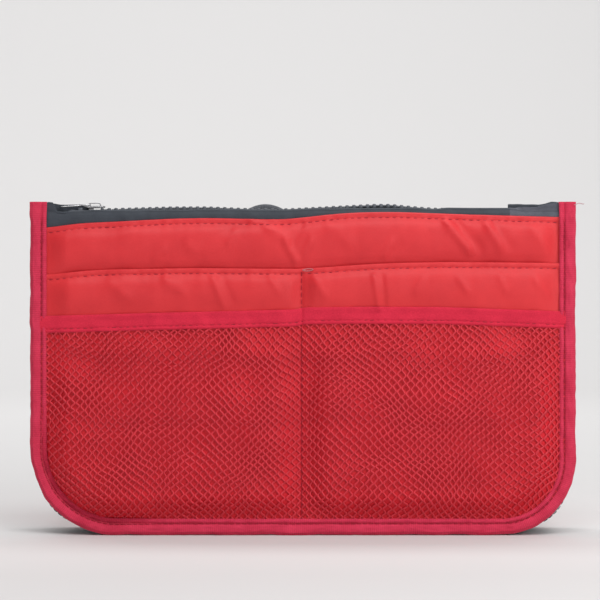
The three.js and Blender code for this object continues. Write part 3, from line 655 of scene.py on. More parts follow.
wallWidth = wall["right"] - wall["left"]
for wallSide in (frontWall, backWall):
    highSeams, lowSeams = wallSide["highSeams"], wallSide["lowSeams"]
    seed, deep = wallSide["seed"], float(np.mean(wallSide["lowLine"][1]))
    wallSide["body"] = wallSide["word"] + "_wall"
    wallSide["panelShape"] = heldCloth(wallWidth, 26, [], seed + 101, 0.022, 3.0, 14)
    wallSide["highShape"] = heldCloth(wallWidth, 24, highSeams, seed + 102, 0.022, 3.0, 14)
    wallSide["lowShape"] = heldCloth(wallWidth, deep, lowSeams, seed + 103, 0.014, 0.6, 30)
    print("cloth simulated for the", wallSide["body"])


def hemRelief(x, down, seed):
    # a hem: the folded strip stands proud, the stitch line is drawn in, the fold is rounded, and
    # small gathers run down from the stitches
    strip = hem["thick"] * (1 - smooth((down - hem["fold"] + 0.5) / 0.8))
    groove = hem["groove"] * bell(down - hem["stitch"], hem["grooveWidth"])
    groove = groove * pulled(x, hem["pitch"], 0.28)
    gathers = 0.22 * softNoise(x, 0 * x, 6.5, seed) * np.exp(-np.maximum(down - 2, 0) / 5)
    return strip - groove - 0.55 * roundOff(down / 0.7) + gathers


def sag(down, length, height):
    # a padded band: below its hem it comes out quickly, then slopes slowly back to the next seam
    t = np.clip(down / length, 0, 1)
    rise = np.sin(math.pi / 2 * np.clip(t / 0.26, 0, 1)) ** 1.3
    return height * rise * (1 - smooth((t - 0.1) / 0.9) * 0.95)


def drawnAt(x, seams, width, share):
    # 1, and near each seam less by the share
    return math.prod(1 - share * bell(x - seam, width) for seam in seams)


def highPuff(wallSide, x, z):
    # the high pocket swells between its hem and the low pocket's edge, and less below that
    top, low = lineOf(wallSide, "high", x), lineOf(wallSide, "low", x)
    swell = 0.9 + sag(top - 2.4 - z, top - low, 1.6)
    swell = swell + 0.6 * readOff(wallSide["highShape"], x, z, low - 3, top - 2.4)
    below = 0.3 + 0.7 * readOff(wallSide["lowShape"], x, z, 0, low - 4)
    swell = swell + below * smooth((low - 2 - z) / 50)
    swell = swell + sum(crease(x, z, *fold) for fold in wallSide["highCreases"])
    swell = swell + 0.3 * softNoise(x, z, 24, wallSide["seed"] + 3)
    seams = np.where(
        z < low, drawnAt(x, wallSide["highSeams"] + wallSide["lowSeams"], *wallSide["lowDrawn"]),
        drawnAt(x, wallSide["highSeams"], 4.5, 0.92))
    stitched = sum(bell(x - seam, 0.75) for seam in wallSide["highSeams"])
    stitched = 0.8 * stitched * smooth((top - 1 - z) / 2)
    inward = fromEdge(x, z)
    # the padding is fullest low down, most of all at the lower left, and drops to the binding
    belly = smooth((70 - z) / 50) * (0.35 + 1.6 * smooth((-50 - x) / 60))
    belly = belly * seams * smooth((inward - 7.8) / 5)
    dropped = wallSide["cornerSunk"] * lowerLeft(x, z) * smooth((9.3 - inward) / 0.8)
    return swell * seams * smooth((inward - wall["free"]) / 13) + belly - stitched - dropped


def panelPuff(wallSide, x, z):
    # the plain band at the top swells between its hem and the high pocket, and lies back under it
    top, high = lineOf(wallSide, "panel", x), lineOf(wallSide, "high", x)
    held = top - wallSide["topHeld"]
    swell = 0.5 * smooth((held + 2 - z) / 4) + sag(held - z, held - high, 1.8)
    swell = swell + 0.65 * readOff(wallSide["panelShape"], x, z, high - 3, held)
    swell = swell + sum(crease(x, z, *fold) for fold in wallSide["panelCreases"])
    swell = swell + 0.3 * softNoise(x, z, 26, wallSide["seed"] + 1) * smooth((held + 1 - z) / 4)
    swell = swell * smooth((fromEdge(x, z) - wall["free"]) / 11)
    swell = swell - wallSide["topSunk"] * smooth((z - held) / 3)
    under = np.minimum(highPuff(wallSide, x, np.minimum(z, high - 0.4)) - 0.3, 0.2)
    tucked = smooth((high + 2.4 - z) / 3.2)
    return under * tucked + swell * (1 - tucked)


def slackBetween(x, seams, power):
    return sum(halfSine((x - a) / (b - a), power) for a, b in zip(seams[:-1], seams[1:]))


def lowPuff(wallSide, x, z):
    # the low pocket lies over the high one, a little slack between its seams
    seams = [wall["left"] + 8] + wallSide["lowSeams"] + [wall["right"] - 8]
    slack = slackBetween(x, seams, 0.7)
    slack = slack * 0.6 * halfSine((z - 6) / (lineOf(wallSide, "low", x) - 9), 0.8)
    drawn = drawnAt(x, wallSide["lowSeams"], 3.5, 0.95)
    rise = smooth((fromEdge(x, z) - wall["free"]) / 10) * drawn
    loose = slack + 0.4 * softNoise(x, z, 30, wallSide["seed"] + 21)
    return highPuff(wallSide, x, z) + 0.1 + loose * rise


# each layer's outer face before it swells, its swell and its cloth's thickness
layers = {"panel": (panelOut, panelPuff, 0.6), "high": (cardOut, highPuff, 0.45),
          "low": (netOut, lowPuff, 0.45)}


def layerSheet(name, wallSide, edge, node, spacing, hemmed=True):
    # one layer of a wall, with its hem
    outer, puff, thick = layers[edge]
    x, z = wallGrid(lambda x: lineOf(wallSide, edge, x), wall["inset"], wall["inset"], spacing, 300)
    face, side = outer + puff(wallSide, x, z), wallSide["side"]
    back = face - thick
    if hemmed:
        face = face + hemRelief(x, lineOf(wallSide, edge, x) - z, wallSide["seed"] + 11)
    piece = layer(name, x, z, side * face, side * back, "redNylon")
    return place(piece, wallSide["body"], "red_nylon", node)


def rowOn(wallSide, edge, lift, x, z):
    # a line of stitches on a layer, lifted off its face
    outer, puff = layers[edge][:2]
    x, z = np.broadcast_arrays(x, z)
    side = wallSide["side"]
    return lineOn(x, side * (outer + lift + puff(wallSide, x, z)), z, side)


# rows of stitches run across a wall between its bindings
clear = wall["bindingWidth"] + 0.6
acrossX = np.linspace(wall["left"] + clear, wall["right"] - clear, 500)

layerSheet("frontPanel", frontWall, "panel", "front_panel", 2.4)
frontCard = layerSheet("frontCardPocket", frontWall, "high", "front_card_pocket", 1.8)


def secondMaterial(piece, material, where):
    # the faces whose centres (n, 3) `where` picks take the second material
    mesh = piece.data
    centres = np.empty(len(mesh.polygons) * 3)
    mesh.polygons.foreach_get("center", centres)
    mesh.materials.append(bpy.data.materials[material])
    mesh.polygons.foreach_set("material_index", where(centres.reshape(-1, 3) / mm).astype(np.int32))


# the cloth behind the net is a deeper red than what shows above it: partly painted shade,
# standing in for the shade that the net casts on it, and partly the net's dark knitted ground
secondMaterial(frontCard, "deepNylon", lambda at: at[:, 2] < lineOf(frontWall, "low", at[:, 0]) - 4)
print("front panel and slip pocket made")

net = {
    "pitchX": 4.53,      # width of a diamond gap
    "pitchZ": 4.04,      # its height
    "strand": 0.50,      # half the strand's width
    "strandDeep": 0.28,
    "perStrand": 4,      # rings of points in half a gap's height
    "sides": 5,          # sides of a strand's section
    "bottom": 7.5,
    # the waves that pull it askew along X and along Z: height, length and seed
    "skews": [[(1.6, 60, 22), (0.6, 19, 23), (0.15, 5, 28)],
              [(1.6, 66, 24), (0.65, 21, 25), (0.2, 5, 29)]],
}


def netStrands(name, xFrom, xTo):
    # Zigzag strands run up the net, half a gap apart, and touch their neighbours in turn:
    # x = middle + (gap / 4) tri(2 z / gap), with the corners drawn out straight where two
    # strands are knitted together. The whole net is pulled askew by slow waves.
    rowStep, half = net["pitchZ"] / 2, net["pitchX"] / 2
    rows = int((lineOf(frontWall, "low", 0.0) - net["bottom"]) / rowStep)
    middles = np.arange(math.ceil(xFrom / half), math.floor(xTo / half) + 1)[:, None]
    t = np.arange(rows * net["perStrand"] + 1) / net["perStrand"]
    tri = np.clip(1.35 * (2 * np.abs((t % 2) - 1) - 1), -1, 1)
    way = np.where(middles % 2 == 0, 1, -1)
    x = middles * half + way * tri * (half / 2 - net["strand"] * 0.72)
    z = net["bottom"] + t * rowStep + 0 * x
    fade = smooth((fromEdge(x, z) - 3) / 14) * smooth(np.abs(x - wall["seamX"]) / 14)
    skewX, skewZ = (fade * sum(share * softNoise(x, z, size, seed) for share, size, seed in waves)
                    for waves in net["skews"])
    x, z = x + skewX, z + skewZ
    # strands that run one way are tighter and stand out where the net is dragged that way
    taut = bell(x + 85, 42) * bell(z - 84, 32) + 0.7 * bell(x - 100, 34) * bell(z - 62, 40)
    taut = taut + 0.5 * softNoise(x, z, 34, 26)
    lean = np.clip(np.gradient(x, axis=1) * 3, -1, 1) * np.clip(taut, -1, 1)
    knot = np.clip(np.abs(tri) * 3 - 2, 0, 1)
    out = netOut - 0.15 + lowPuff(frontWall, x, z) + 0.34 * lean + 0.1 * knot
    centre = stacked(x, -out, z)
    keep = (fromEdge(x, z) > 4.5) & (z < lineOf(frontWall, "low", x) - 3) & (x > xFrom) & (x < xTo)
    ahead = unit(np.gradient(centre, axis=1))
    flat = np.cross(ahead, [0.0, -1.0, 0.0])
    deep = np.cross(flat, ahead)
    sideways, outwards = roundedOutline(1, 1, net["sides"], turned=net["sides"] / 4).T[..., None]
    wide = (net["strand"] * (1 + 0.3 * knot) * (1 + 0.34 * lean))[..., None, None]
    rings = (centre[..., None, :] + flat[..., None, :] * sideways * wide
             + deep[..., None, :] * outwards * net["strandDeep"])
    # each strand is cut to its run inside the pocket
    runs = [np.flatnonzero(inside) for inside in keep]
    parts = [ring[run[0]:run[-1] + 1] for ring, run in zip(rings, runs) if len(run) > 5]
    return place(loftParts(name, parts, "redNet"), "front_wall", "red_mesh")


netLeft = netStrands("frontNetLeft", wall["left"] + 2, wall["seamX"] + 0.4)
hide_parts("front_mesh_pocket")
netStrands("frontNetRight", wall["seamX"] - 0.4, wall["right"] - 2)

band = {"height": 8.8, "above": 0.5, "stitch": 1.9, "pitch": 3.2}


def hemRows(height, many, few):
    # distances down a tape from its folded edge: even rows, then close ones round the fold
    turn = np.linspace(0.2, 1.57, few)
    return np.concatenate([np.linspace(height, 0.6, many), 0.6 - 0.6 * np.sin(turn)])


def pocketBand(name, wallSide, node):
    # grosgrain tape folded over the low pocket's edge, stitched along its lower edge
    height, side = band["height"], wallSide["side"]
    down = hemRows(height, 24, 6)
    x = np.linspace(wall["left"] + 4, wall["right"] - 4, 420)[:, None]
    top = lineOf(wallSide, "low", x) + band["above"]
    z = top - down
    groove = 0.45 * bell(down - height + band["stitch"], 0.45) * pulled(x, band["pitch"], 0.3)
    crown = 0.3 * halfSine((height - down) / 8, 0.6)
    lowEdge = -0.25 * (1 - smooth((height - down) / 0.7))
    out = netOut + 0.45 + lowPuff(wallSide, x, np.minimum(z, top - 1.2))
    out = out + crown - groove - 0.6 * roundOff(down / 0.6) + lowEdge
    out = out + 0.14 * softNoise(x, z, 9, 31 + wallSide["seed"]) * smooth((fromEdge(x, z) - 8) / 8)
    behind = out - 0.45 * (1 - 0.4 * (1 - down / 0.6).clip(0, 1))
    piece = layer(name, x, z, side * out, side * behind, "bandTape", (x, down), lower=0.1)
    place(piece, wallSide["body"], "crimson_tape", node)


pocketBand("frontNetBand", frontWall, "front_mesh_band")
print("net pocket made")

binding = {"roll": 6.0, "crown": 0.85, "groove": 0.85, "pitch": 3.1, "lip": 0.25, "bend": 1.7}


def bindingTape(wallSide, seed):
    # A tape folded round the wall's edge: a wide soft roll, the stitched groove, a narrow lip.
    # The section is carried along the edge; its outer side waves slightly in and out. Round the
    # front's lower left corner the roll is narrower and the lip sinks behind it. At both ends the
    # fold is pressed shut. What comes back is the lines of its stitches, outside and inside.
    side, wide, bend = wallSide["side"], wall["bindingWidth"], binding["bend"]
    path = edgePath(0, wall["top"], wall["leftRadius"], wall["rightRadius"], 1.05)
    s = path["s"][:, None]
    outer, inner = wall["outer"] - 0.35, wall["inner"]
    over, under = np.linspace(0.15, 1.57, 6), np.linspace(0, 1.42, 6)
    n = np.concatenate([np.linspace(wide, bend, 28), bend - bend * np.sin(over), np.zeros(2),
                        bend - bend * np.cos(under), np.linspace(1.9, wide, 8)])
    y = np.concatenate([np.full(28, outer), outer - bend + bend * np.cos(over),
                        [outer - 2.4, inner + 2.4], inner + bend - bend * np.sin(under),
                        np.full(8, inner)])
    front = np.arange(len(n)) < 28
    corner = lowerLeft(path["x"], path["z"])[:, None] * min(wallSide["cornerSunk"], 1)
    roll = binding["roll"] - 0.2 * corner
    crown = binding["crown"] * halfSine(n / roll, 0.7)
    lip = binding["lip"] * bell(n - 7.4, 0.7) - 0.45 * smooth((n - 8.0) / 0.6)
    lip = lip * (1 - corner) - wallSide["cornerSunk"] * corner * smooth((n - roll + 0.3) / 0.8)
    groove = binding["groove"] * bell(n - roll, 0.42) * pulled(s, binding["pitch"], 0.32)
    lumps = 0.2 * softNoise(s, n * 2.5, 13, seed) + 0.09 * softNoise(s, n * 2, 4.5, seed + 1)
    face = (crown + lip + lumps * smooth(n / 2) - groove) * front
    wave = 0.35 * softNoise(s, 0, 26, seed + 2) + 0.13 * softNoise(s, 0, 7, seed + 3)
    across = -n + wave * smooth((wide - n) / wide)
    # the inside of the fold, a tape's thickness in
    near = np.array([wide, 1.0, 1.0, wide])
    deep = np.array([inner + 0.6, inner + 0.6, outer - 0.65, outer - 0.65])
    across = np.concatenate([across, np.tile(-near, (len(s), 1))], 1)
    depth = np.concatenate([y + face, np.tile(deep, (len(s), 1))], 1)
    depth[:, -1:] -= wallSide["cornerSunk"] * corner
    shut = 0.42 * smooth((9 - np.minimum(s, s[-1] - s)) / 7)
    middle = (outer + inner) / 2
    inside = np.arange(depth.shape[1]) >= len(n)
    depth = middle + (depth - middle) * np.where(inside, 1 - 2.3 * shut, 1 - shut)
    rings = carried(path, across, side * depth)
    rings[..., 2] = np.maximum(rings[..., 2], 0.0)
    vLine = np.concatenate([wide - n[:28], wide + np.linspace(0.2, 9, len(n) - 28),
                            [18, 19, 20, 21]])
    word = wallSide["word"]
    piece = tube(word + "Binding", rings, path["s"], vLine, "crimsonTape")
    place(piece, wallSide["body"], "crimson_tape", word + "_binding")
    rows = [carried(path, -reach, side * at)[9:-9, 0]
            for at, reach in ((outer, roll), (inner - 0.1, np.full((1, 1), binding["roll"])))]
    return [lineOn(*row.T, way) for row, way in zip(rows, (side, -side))]


def hemRow(wallSide, edge):
    return rowOn(wallSide, edge, -0.15, acrossX, lineOf(wallSide, edge, acrossX) - hem["stitch"])


def bandRow(wallSide):
    z = lineOf(wallSide, "low", acrossX) + band["above"] - band["height"] + band["stitch"]
    return rowOn(wallSide, "low", 0.2, acrossX, z)


sewnTapes = [(frontWall, bindingTape(frontWall, 41)), (backWall, bindingTape(backWall, 51))]
for wallSide, lines in sewnTapes:
    stitchLines(wallSide["word"] + "BindingStitches", lines, binding["pitch"], "redThread",
                wallSide["body"])

seamZ = np.linspace(10, lineOf(frontWall, "high", wall["seamX"]) - 1.5, 200)
frontRows = [hemRow(frontWall, "panel"), hemRow(frontWall, "high"), bandRow(frontWall),
             rowOn(frontWall, "low", 0.15, wall["seamX"], seamZ)]
stitchLines("frontStitches", frontRows, hem["pitch"], "redThread", "front_wall", 0.74, 0.21)
print("binding and stitches made")

layerSheet("backPanel", backWall, "panel", "back_panel", 2.4, hemmed=False)
layerSheet("backHighPocket", backWall, "high", "back_high_pocket", 2.0)
layerSheet("backLowPocket", backWall, "low", "back_low_pocket", 2.0, hemmed=False)
pocketBand("backLowBand", backWall, "back_low_band")
backRows = [hemRow(backWall, "high"), bandRow(backWall),
            rowOn(backWall, "high", 0.1, backWall["highSeams"][0], np.linspace(94, 130, 100))]
backRows += [rowOn(backWall, "low", 0.1, x, np.linspace(10, 90, 200)) for x in backWall["lowSeams"]]
stitchLines("backStitches", backRows, hem["pitch"], "redThread", "back_wall", 0.74)


def topFold():
    # the tape folded over the back wall's top edge: its section is a rounded channel
    x = np.linspace(wall["left"] + 6, wall["right"] - 6, 260)[:, None]
    (_, near, foot), (_, far, top) = nodeBox("back_top_binding")
    radius = (far - near) / 2
    turn = np.linspace(0, math.pi, 13)[1:-1]
    down = np.linspace(top - foot, radius, 14)
    # up the far side, over the edge, down the near side, then the inside
    depth = np.concatenate([np.full(14, far), near + radius + radius * np.cos(turn),
                            np.full(14, near), [near + 0.5, near + 0.5, far - 0.5, far - 0.5]])
    z = np.concatenate([top - down, top - radius + radius * np.sin(turn), top - down[::-1],
                        [foot, top - 1.5, top - 1.5, foot]])
    groove = 0.35 * bell(z - foot - 1.8, 0.45) * pulled(x, band["pitch"], 0.3)
    swell = 0.25 + 0.16 * softNoise(x, z * 2, 15, 71) - groove
    swell = swell * np.sign(depth - (near + far) / 2) * (np.arange(len(z)) < len(z) - 4)
    rings = stacked(x, depth + swell, z + 0.25 * softNoise(x, 0, 45, 72))
    piece = tube("backTopBinding", rings, x[:, 0], lengthAlong(stacked(depth, z)), "zipTape")
    place(piece, "back_wall", "grey_tape", "back_top_binding")
    line = acrossX[2:-2]
    row = foot + 1.8 + 0.25 * softNoise(line, 0, 45, 72)
    lines = [lineOn(line, far + 0.1, row, 1.0), lineOn(line, near - 0.1, row, -1.0)]
    stitchLines("backTopStitches", lines, band["pitch"], "greyThread", "back_wall")


topFold()
print("back wall made")

lining = {"reach": 9.2, "start": 30, "full": 158, "straight": 123, "end": 130.9, "thick": 0.5}


def closing(x):
    # 0 in the middle, and 1 at the sides, where lining and zip meet the wall
    return np.clip((np.abs(x) - lining["straight"]) / (lining["end"] - lining["straight"]), 0, 1)


def opened(x):
    return (1 + np.cos(math.pi * closing(x))) / 2


def standsBack(x, z):
    # how far the front lining stands back from its wall: more towards the zip, none at the sides
    rise = np.maximum(0, (z - lining["start"]) / (lining["full"] - lining["start"]))
    return lining["reach"] * opened(x) * rise


def liningFace(wallSide, x, z):
    # depth of the lining's inner face
    return -liningIn + standsBack(x, z) if wallSide["side"] < 0 else liningIn + 0 * (x + z)


def liningSheet(wallSide):
    node = wallSide["word"] + "_lining"
    top = nodeBox(node)[1][2]
    x, z = wallGrid(lambda x: top + 0 * x, wall["inset"], wall["inset"], 3, 260, fine=3)
    way = -wallSide["side"]
    soft = 0.2 * (softNoise(x, z, 26, wallSide["seed"] + 31) - 1)
    face = liningFace(wallSide, x, z) + way * soft * smooth((fromEdge(x, z) - 8) / 12)
    back = face - way * lining["thick"]
    piece = layer(wallSide["word"] + "Lining", x, z, face, back, "greyLining")
    place(piece, wallSide["body"], "grey_lining", node)


for wallSide in (frontWall, backWall):
    liningSheet(wallSide)

trim = {"height": 9, "over": 0.8, "stitch": 1.6}


def innerPocket(wallSide, dividers):
    # a pocket sewn to the lining at its sides, bottom and dividers, with a trimmed top edge
    word, body, way = wallSide["word"], wallSide["body"], -wallSide["side"]
    low, high = nodeBox(word + "_inner_pocket")
    x, z = np.meshgrid(np.linspace(low[0], high[0], 240), np.linspace(low[2], high[2], 60),
                       indexing="ij")
    rise = np.sin(math.pi / 2 * np.clip((z - low[2]) / 26, 0, 1))
    swell = slackBetween(x, [low[0]] + dividers + [high[0]], 0.6) * rise
    swell = swell * (0.9 + 0.3 * softNoise(x, z, 24, wallSide["seed"] + 33)).clip(0)
    face = liningFace(wallSide, x, z) + way * (0.8 + swell)
    piece = layer(word + "InnerPocket", x, z, face, face - way * 0.5, "greyLining")
    place(piece, body, "grey_lining", word + "_inner_pocket")
    down, line = hemRows(trim["height"], 16, 5), np.linspace(low[0] + 1, high[0] - 1, 200)
    bandX, bandZ = x[:, :1], high[2] + trim["over"] - down
    swell = swell[:, -4:-3]
    lift = np.interp(line, x[:, 0], swell[:, 0])
    groove = 0.3 * bell(down - trim["height"] + trim["stitch"], 0.4)
    swell = 1.45 + swell - groove - 0.6 * roundOff(down / 0.6)
    face = liningFace(wallSide, bandX, bandZ) + way * swell
    piece = layer(word + "InnerBand", bandX, bandZ, face, face - way * 0.55, "zipTape",
                  (bandX, down), 0.1)
    place(piece, body, "grey_tape", word + "_inner_band")
    seamZ = np.linspace(low[2] + 2, high[2] - 1, 80)
    hemZ, foot = high[2] + trim["over"] - trim["height"] + trim["stitch"], low[2] + 1.5
    rows = [(seam, seamZ, 0.8) for seam in dividers]
    rows += [(line, hemZ, 1.25 + lift), (line, foot, 0.85)]
    lines = [lineOn(at, liningFace(wallSide, at, height) + way * lift, height, way)
             for at, height, lift in rows]
    stitchLines(word + "InnerStitches", lines, 3.4, "greyThread", body)


innerPocket(frontWall, [4.0])
innerPocket(backWall, [-36.0, 34.0])


def padding(wallSide):
    # a thin sheet of foam with rounded edges, between the panel and the lining
    node = wallSide["word"] + "_padding"
    low, high = nodeBox(node)
    inset = low[0] - wall["left"]
    x, z = wallGrid(lambda x: high[2] + 0 * x, inset, inset, 5, 110, fine=2)
    middle, half = (low[1] + high[1]) / 2, (high[1] - low[1]) / 2
    edge = np.minimum(fromEdge(x, z) - inset, high[2] - z)
    thick = half * (1 - roundOff(np.clip(edge / 0.8, 0.02, 1)))
    thick = thick * (1 - 0.06 * (1 + softNoise(x, z, 9, 35)))
    piece = layer(wallSide["word"] + "Padding", x, z, middle - thick, middle + thick, "whiteFoam")
    place(piece, wallSide["body"], "white_foam", node)


for wallSide in (frontWall, backWall):
    padding(wallSide)
print("padding, linings and inner pockets made")


# the rows' teeth part by the slit; the back row's are thinner by a share
teeth = {"pitch": 3.5, "slit": 0.6, "backThin": 0.7}


def toothShape():
    # a moulded tooth, lofted across the tape: the clamp on the tape's edge, a neck, a rounded head
    reach, long, thick = np.array([[-2.75, -2.5, -1.35, -1.0, -0.55, -0.15, 0.0],
                                   [0.75, 1.0, 1.05, 0.68, 0.94, 0.86, 0.5],
                                   [0.72, 1.08, 1.1, 0.62, 0.66, 0.6, 0.38]])[..., None]
    x, z = roundedOutline(1, 1, 8, 0.6, turned=0.5).T
    rings = stacked(long * x, reach, thick * z)
    return rings.reshape(-1, 3), gridQuads(7, 8, wrap=True), endFaces(7, 8)


def teethRow(end, word, places, along, up, body):
    # teeth at places, their heads towards the chain's middle
    side = -1 if word == "front" else 1
    head = np.tile([0.0, -side, 0.0], (len(places), 1))
    frames = stacked(along, head, up, places + [0, side * teeth["slit"] / 2, 0])
    verts, quads, caps = toothShape()
    if side > 0:
        verts = verts * [1, 1, teeth["backThin"]]
    piece = manyOf(end + "Teeth" + word.title(), (verts, quads, caps), frames, "zipTeeth")
    place(piece, body, "grey_teeth", f"{end}_zip_{word}_teeth")


frontTeethLow, frontTeethHigh = nodeBox("top_zip_front_teeth")
topZip = {
    "chainY": (frontTeethHigh[1] + nodeBox("top_zip_back_teeth")[0][1]) / 2,
    "chainZ": (frontTeethLow[2] + frontTeethHigh[2]) / 2,
    "from": frontTeethLow[0],
    "to": frontTeethHigh[0],
    "low": nodeBox("top_zip_front_tape")[0][2],
    "tapeReach": 8.0,      # beyond this the tapes end under the binding
    "thick": 0.5,
    "frontFace": nodeBox("top_zip_front_tape")[0][1] + 0.25,
    "backFace": -6.08,
    "tucked": -14.85,      # the back tape's depth at its ends
    "tabFrom": 106.0,
    # the chain rises and falls along its length
    "rise": ([-101, -67, -48, -28, -8, 0, 23, 37, 45, 57, 67, 85, 100],
             [-0.05, 0.9, 0.9, 0.0, -0.1, 0.3, 1.5, 2.2, 2.2, 1.0, 0.2, -0.05, -0.05]),
}


def chainLine(x):
    return topZip["chainZ"] + softLine(x, *topZip["rise"], spread=3)


for word, inside in (("front", 0.5), ("back", 0.0)):
    # the first tooth of each row is inside the slider
    at = np.arange(topZip["from"] - teeth["pitch"] * inside, topZip["to"] - 1, teeth["pitch"])
    height, flat = chainLine(at), np.zeros(len(at))
    slope = unit(stacked(flat + 1, flat, np.gradient(height, at)))
    up = stacked(-slope[:, 2], flat, slope[:, 0])
    places = stacked(at, flat + topZip["chainY"], height)
    teethRow("top", word, places, slope, up, "front_wall")


def curledTape(word, x, face, way, bend, turn, beyond, seed, plump):
    # A tape that stands up from inside the wall to the bend, then curls over through an angle
    # round a small radius and runs straight on, `beyond` millimetres of it past the bend.
    radius, low = 1.0, topZip["low"]
    hidden = lineOf(frontWall, "panel", x)[:, None] - 2
    x, face, bend, turn, beyond = (v[:, None] for v in (x, face, bend, turn, beyond))
    z1 = low + (bend - low) * np.linspace(0, 1, 20)
    y1 = face - way * plump * halfSine((z1 - hidden) / (bend - hidden), 0.8)
    u = np.linspace(0, 1, 14)[1:] * beyond
    angle = np.minimum(u / radius, turn)
    past = np.maximum(u - radius * turn, 0)
    y2 = face + way * (radius * (1 - np.cos(angle)) + past * np.sin(turn))
    z2 = bend + radius * np.sin(angle) + past * np.cos(turn)
    y, z = np.concatenate([y1, y2], 1), np.concatenate([z1, z2], 1)
    soft = 0.16 * softNoise(x, z * 1.4, 17, seed) + 0.06 * softNoise(x, z, 5, seed + 1)
    y = y + soft * smooth((z - low) / 6) * (z < bend + 0.5)
    centre = stacked(x, y, z)
    normal = unit(np.cross(np.gradient(centre, axis=0), np.gradient(centre, axis=1)))
    normal *= np.sign(normal[:, :1, 1:2]) * -way * topZip["thick"] / 2
    uv = stacked(x, 0.8 * np.arange(z.shape[1]) + 0 * z)
    piece = sheetShell(f"top{word.title()}Tape", centre + normal, centre - normal, uv, "zipTape")
    return place(piece, "front_wall", "grey_tape", f"top_zip_{word}_tape")


def curledOver(x, over, raised, top, wide):
    # the bend, the angle and the length beyond it, where `over` is the share that it curls over
    bend = np.minimum(chainLine(x) - 1 + raised, top - 1)
    turn = np.maximum(math.radians(90) * over + math.radians(17) * raised, 0.01)
    return bend, turn, (wide + 0.2 * raised) * over + (top - bend) * (1 - over)


tapeEnd = wall["right"] - topZip["tapeReach"]
x = np.linspace(wall["left"] + topZip["tapeReach"], tapeEnd, 380)
over = smooth((x + 122) / 6) * smooth((topZip["tabFrom"] + 8 - x) / 7)
# where it hides the teeth
raised = 0.9 * smooth((x - 66) / 9) * over
top = np.interp(x, [-132, -130.9, -128.4, -126.4, -123, -116, 104, 107, 120, 127, 131],
                [170.4, 170.9, 170.7, 166.4, 166.0, 166.6, 168.2, 168.6, 168.5, 170.3, 170.5])
shape = curledOver(x, over, raised, top + 0.12 * softNoise(x, 0, 9, 83), 2.52)
frontTape = curledTape("front", x, 0 * x + topZip["frontFace"], 1, *shape, 81, 0.9)
secondMaterial(frontTape, "tapeTab", lambda at: at[:, 0] > topZip["tabFrom"])

x = np.linspace(wall["left"] + topZip["tapeReach"], topZip["tabFrom"] + 3, 340)
face = topZip["tucked"] + (topZip["backFace"] - topZip["tucked"]) * opened(x)
top = np.interp(x, [-132, -128, -126, -118, -112, -108], [170.4, 170.3, 170.0, 170.1, 170.2, 169.6])
shape = curledOver(x, smooth((x + 113) / 6), 0, top, 2.69)
curledTape("back", x, face, -1, *shape, 85, 0.0)


tab = {"foot": 154, "tucked": -14.2, "before": 0.8, "leanFrom": 162, "lean": 2.4, "tip": 169}


def backTapeEnd():
    # the tape's free end, a doubled flap that stands up beside the last teeth
    x = np.linspace(topZip["tabFrom"], tapeEnd, 60)[:, None]
    top = np.interp(x, [106, 107, 122, 125, 128, 131, 133],
                    [170.1, 170.3, 169.9, 170.4, 171.3, 171.1, 170.2])
    top = top + 0.12 * softNoise(x, 0, 7, 88)
    z = tab["foot"] + (top - tab["foot"]) * np.linspace(0, 1, 26)
    y = tab["tucked"] + (topZip["backFace"] - tab["before"] - tab["tucked"]) * opened(x)
    y = y - tab["lean"] * smooth((z - tab["leanFrom"]) / 8) * (1 - closing(x))
    y = y + 0.25 * softNoise(x, z, 12, 87)
    half = 0.55 * (1 - roundOff(np.clip((top - z) / 0.6, 0.03, 1)))
    piece = layer("topBackTapeEnd", x, z, y - half, y + half, "tapeTab")
    place(piece, "front_wall", "grey_tape")
    # painted shade: the flap's top edge, above the tip height, takes the darker zip tape's colour
    secondMaterial(piece, "zipTape", lambda at: at[:, 2] > tab["tip"])


backTapeEnd()
print("top zip tapes and teeth made")


def plateRings(outline, low, high, edge, dome=0.0):
    # an outline drawn up between two levels, its edges rounded and its top slightly domed
    ahead = np.roll(outline, -1, 0) - np.roll(outline, 1, 0)
    outward = unit(stacked(ahead[:, 1], -ahead[:, 0]))
    insets = np.array([2.2, 1, 0.3, 0, 0, 0.3, 1, 2.2, 5])[:, None, None] * edge
    levels = np.array([low, low, low + edge * 0.3, low + edge, high - edge, high - edge * 0.3, high,
                       high + dome * 0.5, high + dome])
    flat = outline - outward * insets
    return stacked(flat[..., 0], flat[..., 1], levels[:, None])


def holedPlate(outer, inner, halfThick=0.3, edge=0.12):
    # a plate between two outlines with the same number of points, as a closed band
    levels = [(-halfThick, edge), (-halfThick + edge, 0), (halfThick - edge, 0), (halfThick, edge)]
    rings = []
    for base, other, order in ((outer, inner, levels), (inner, outer, levels[::-1])):
        for level, inset in order:
            flat = base + unit(other - base) * inset
            rings.append(np.concatenate([flat, np.full((len(flat), 1), level)], 1))
    rings = np.stack(rings, 1)
    return np.concatenate([rings, rings[:1]])


slider = {"half": 5.5, "wide": 3.5, "taper": 0.114, "plates": (1.4, 2.1), "flange": 1.2,
          "bridge": 3.65, "legs": 3.1, "pivot": (2.2, 2.75), "droop": 4.0}


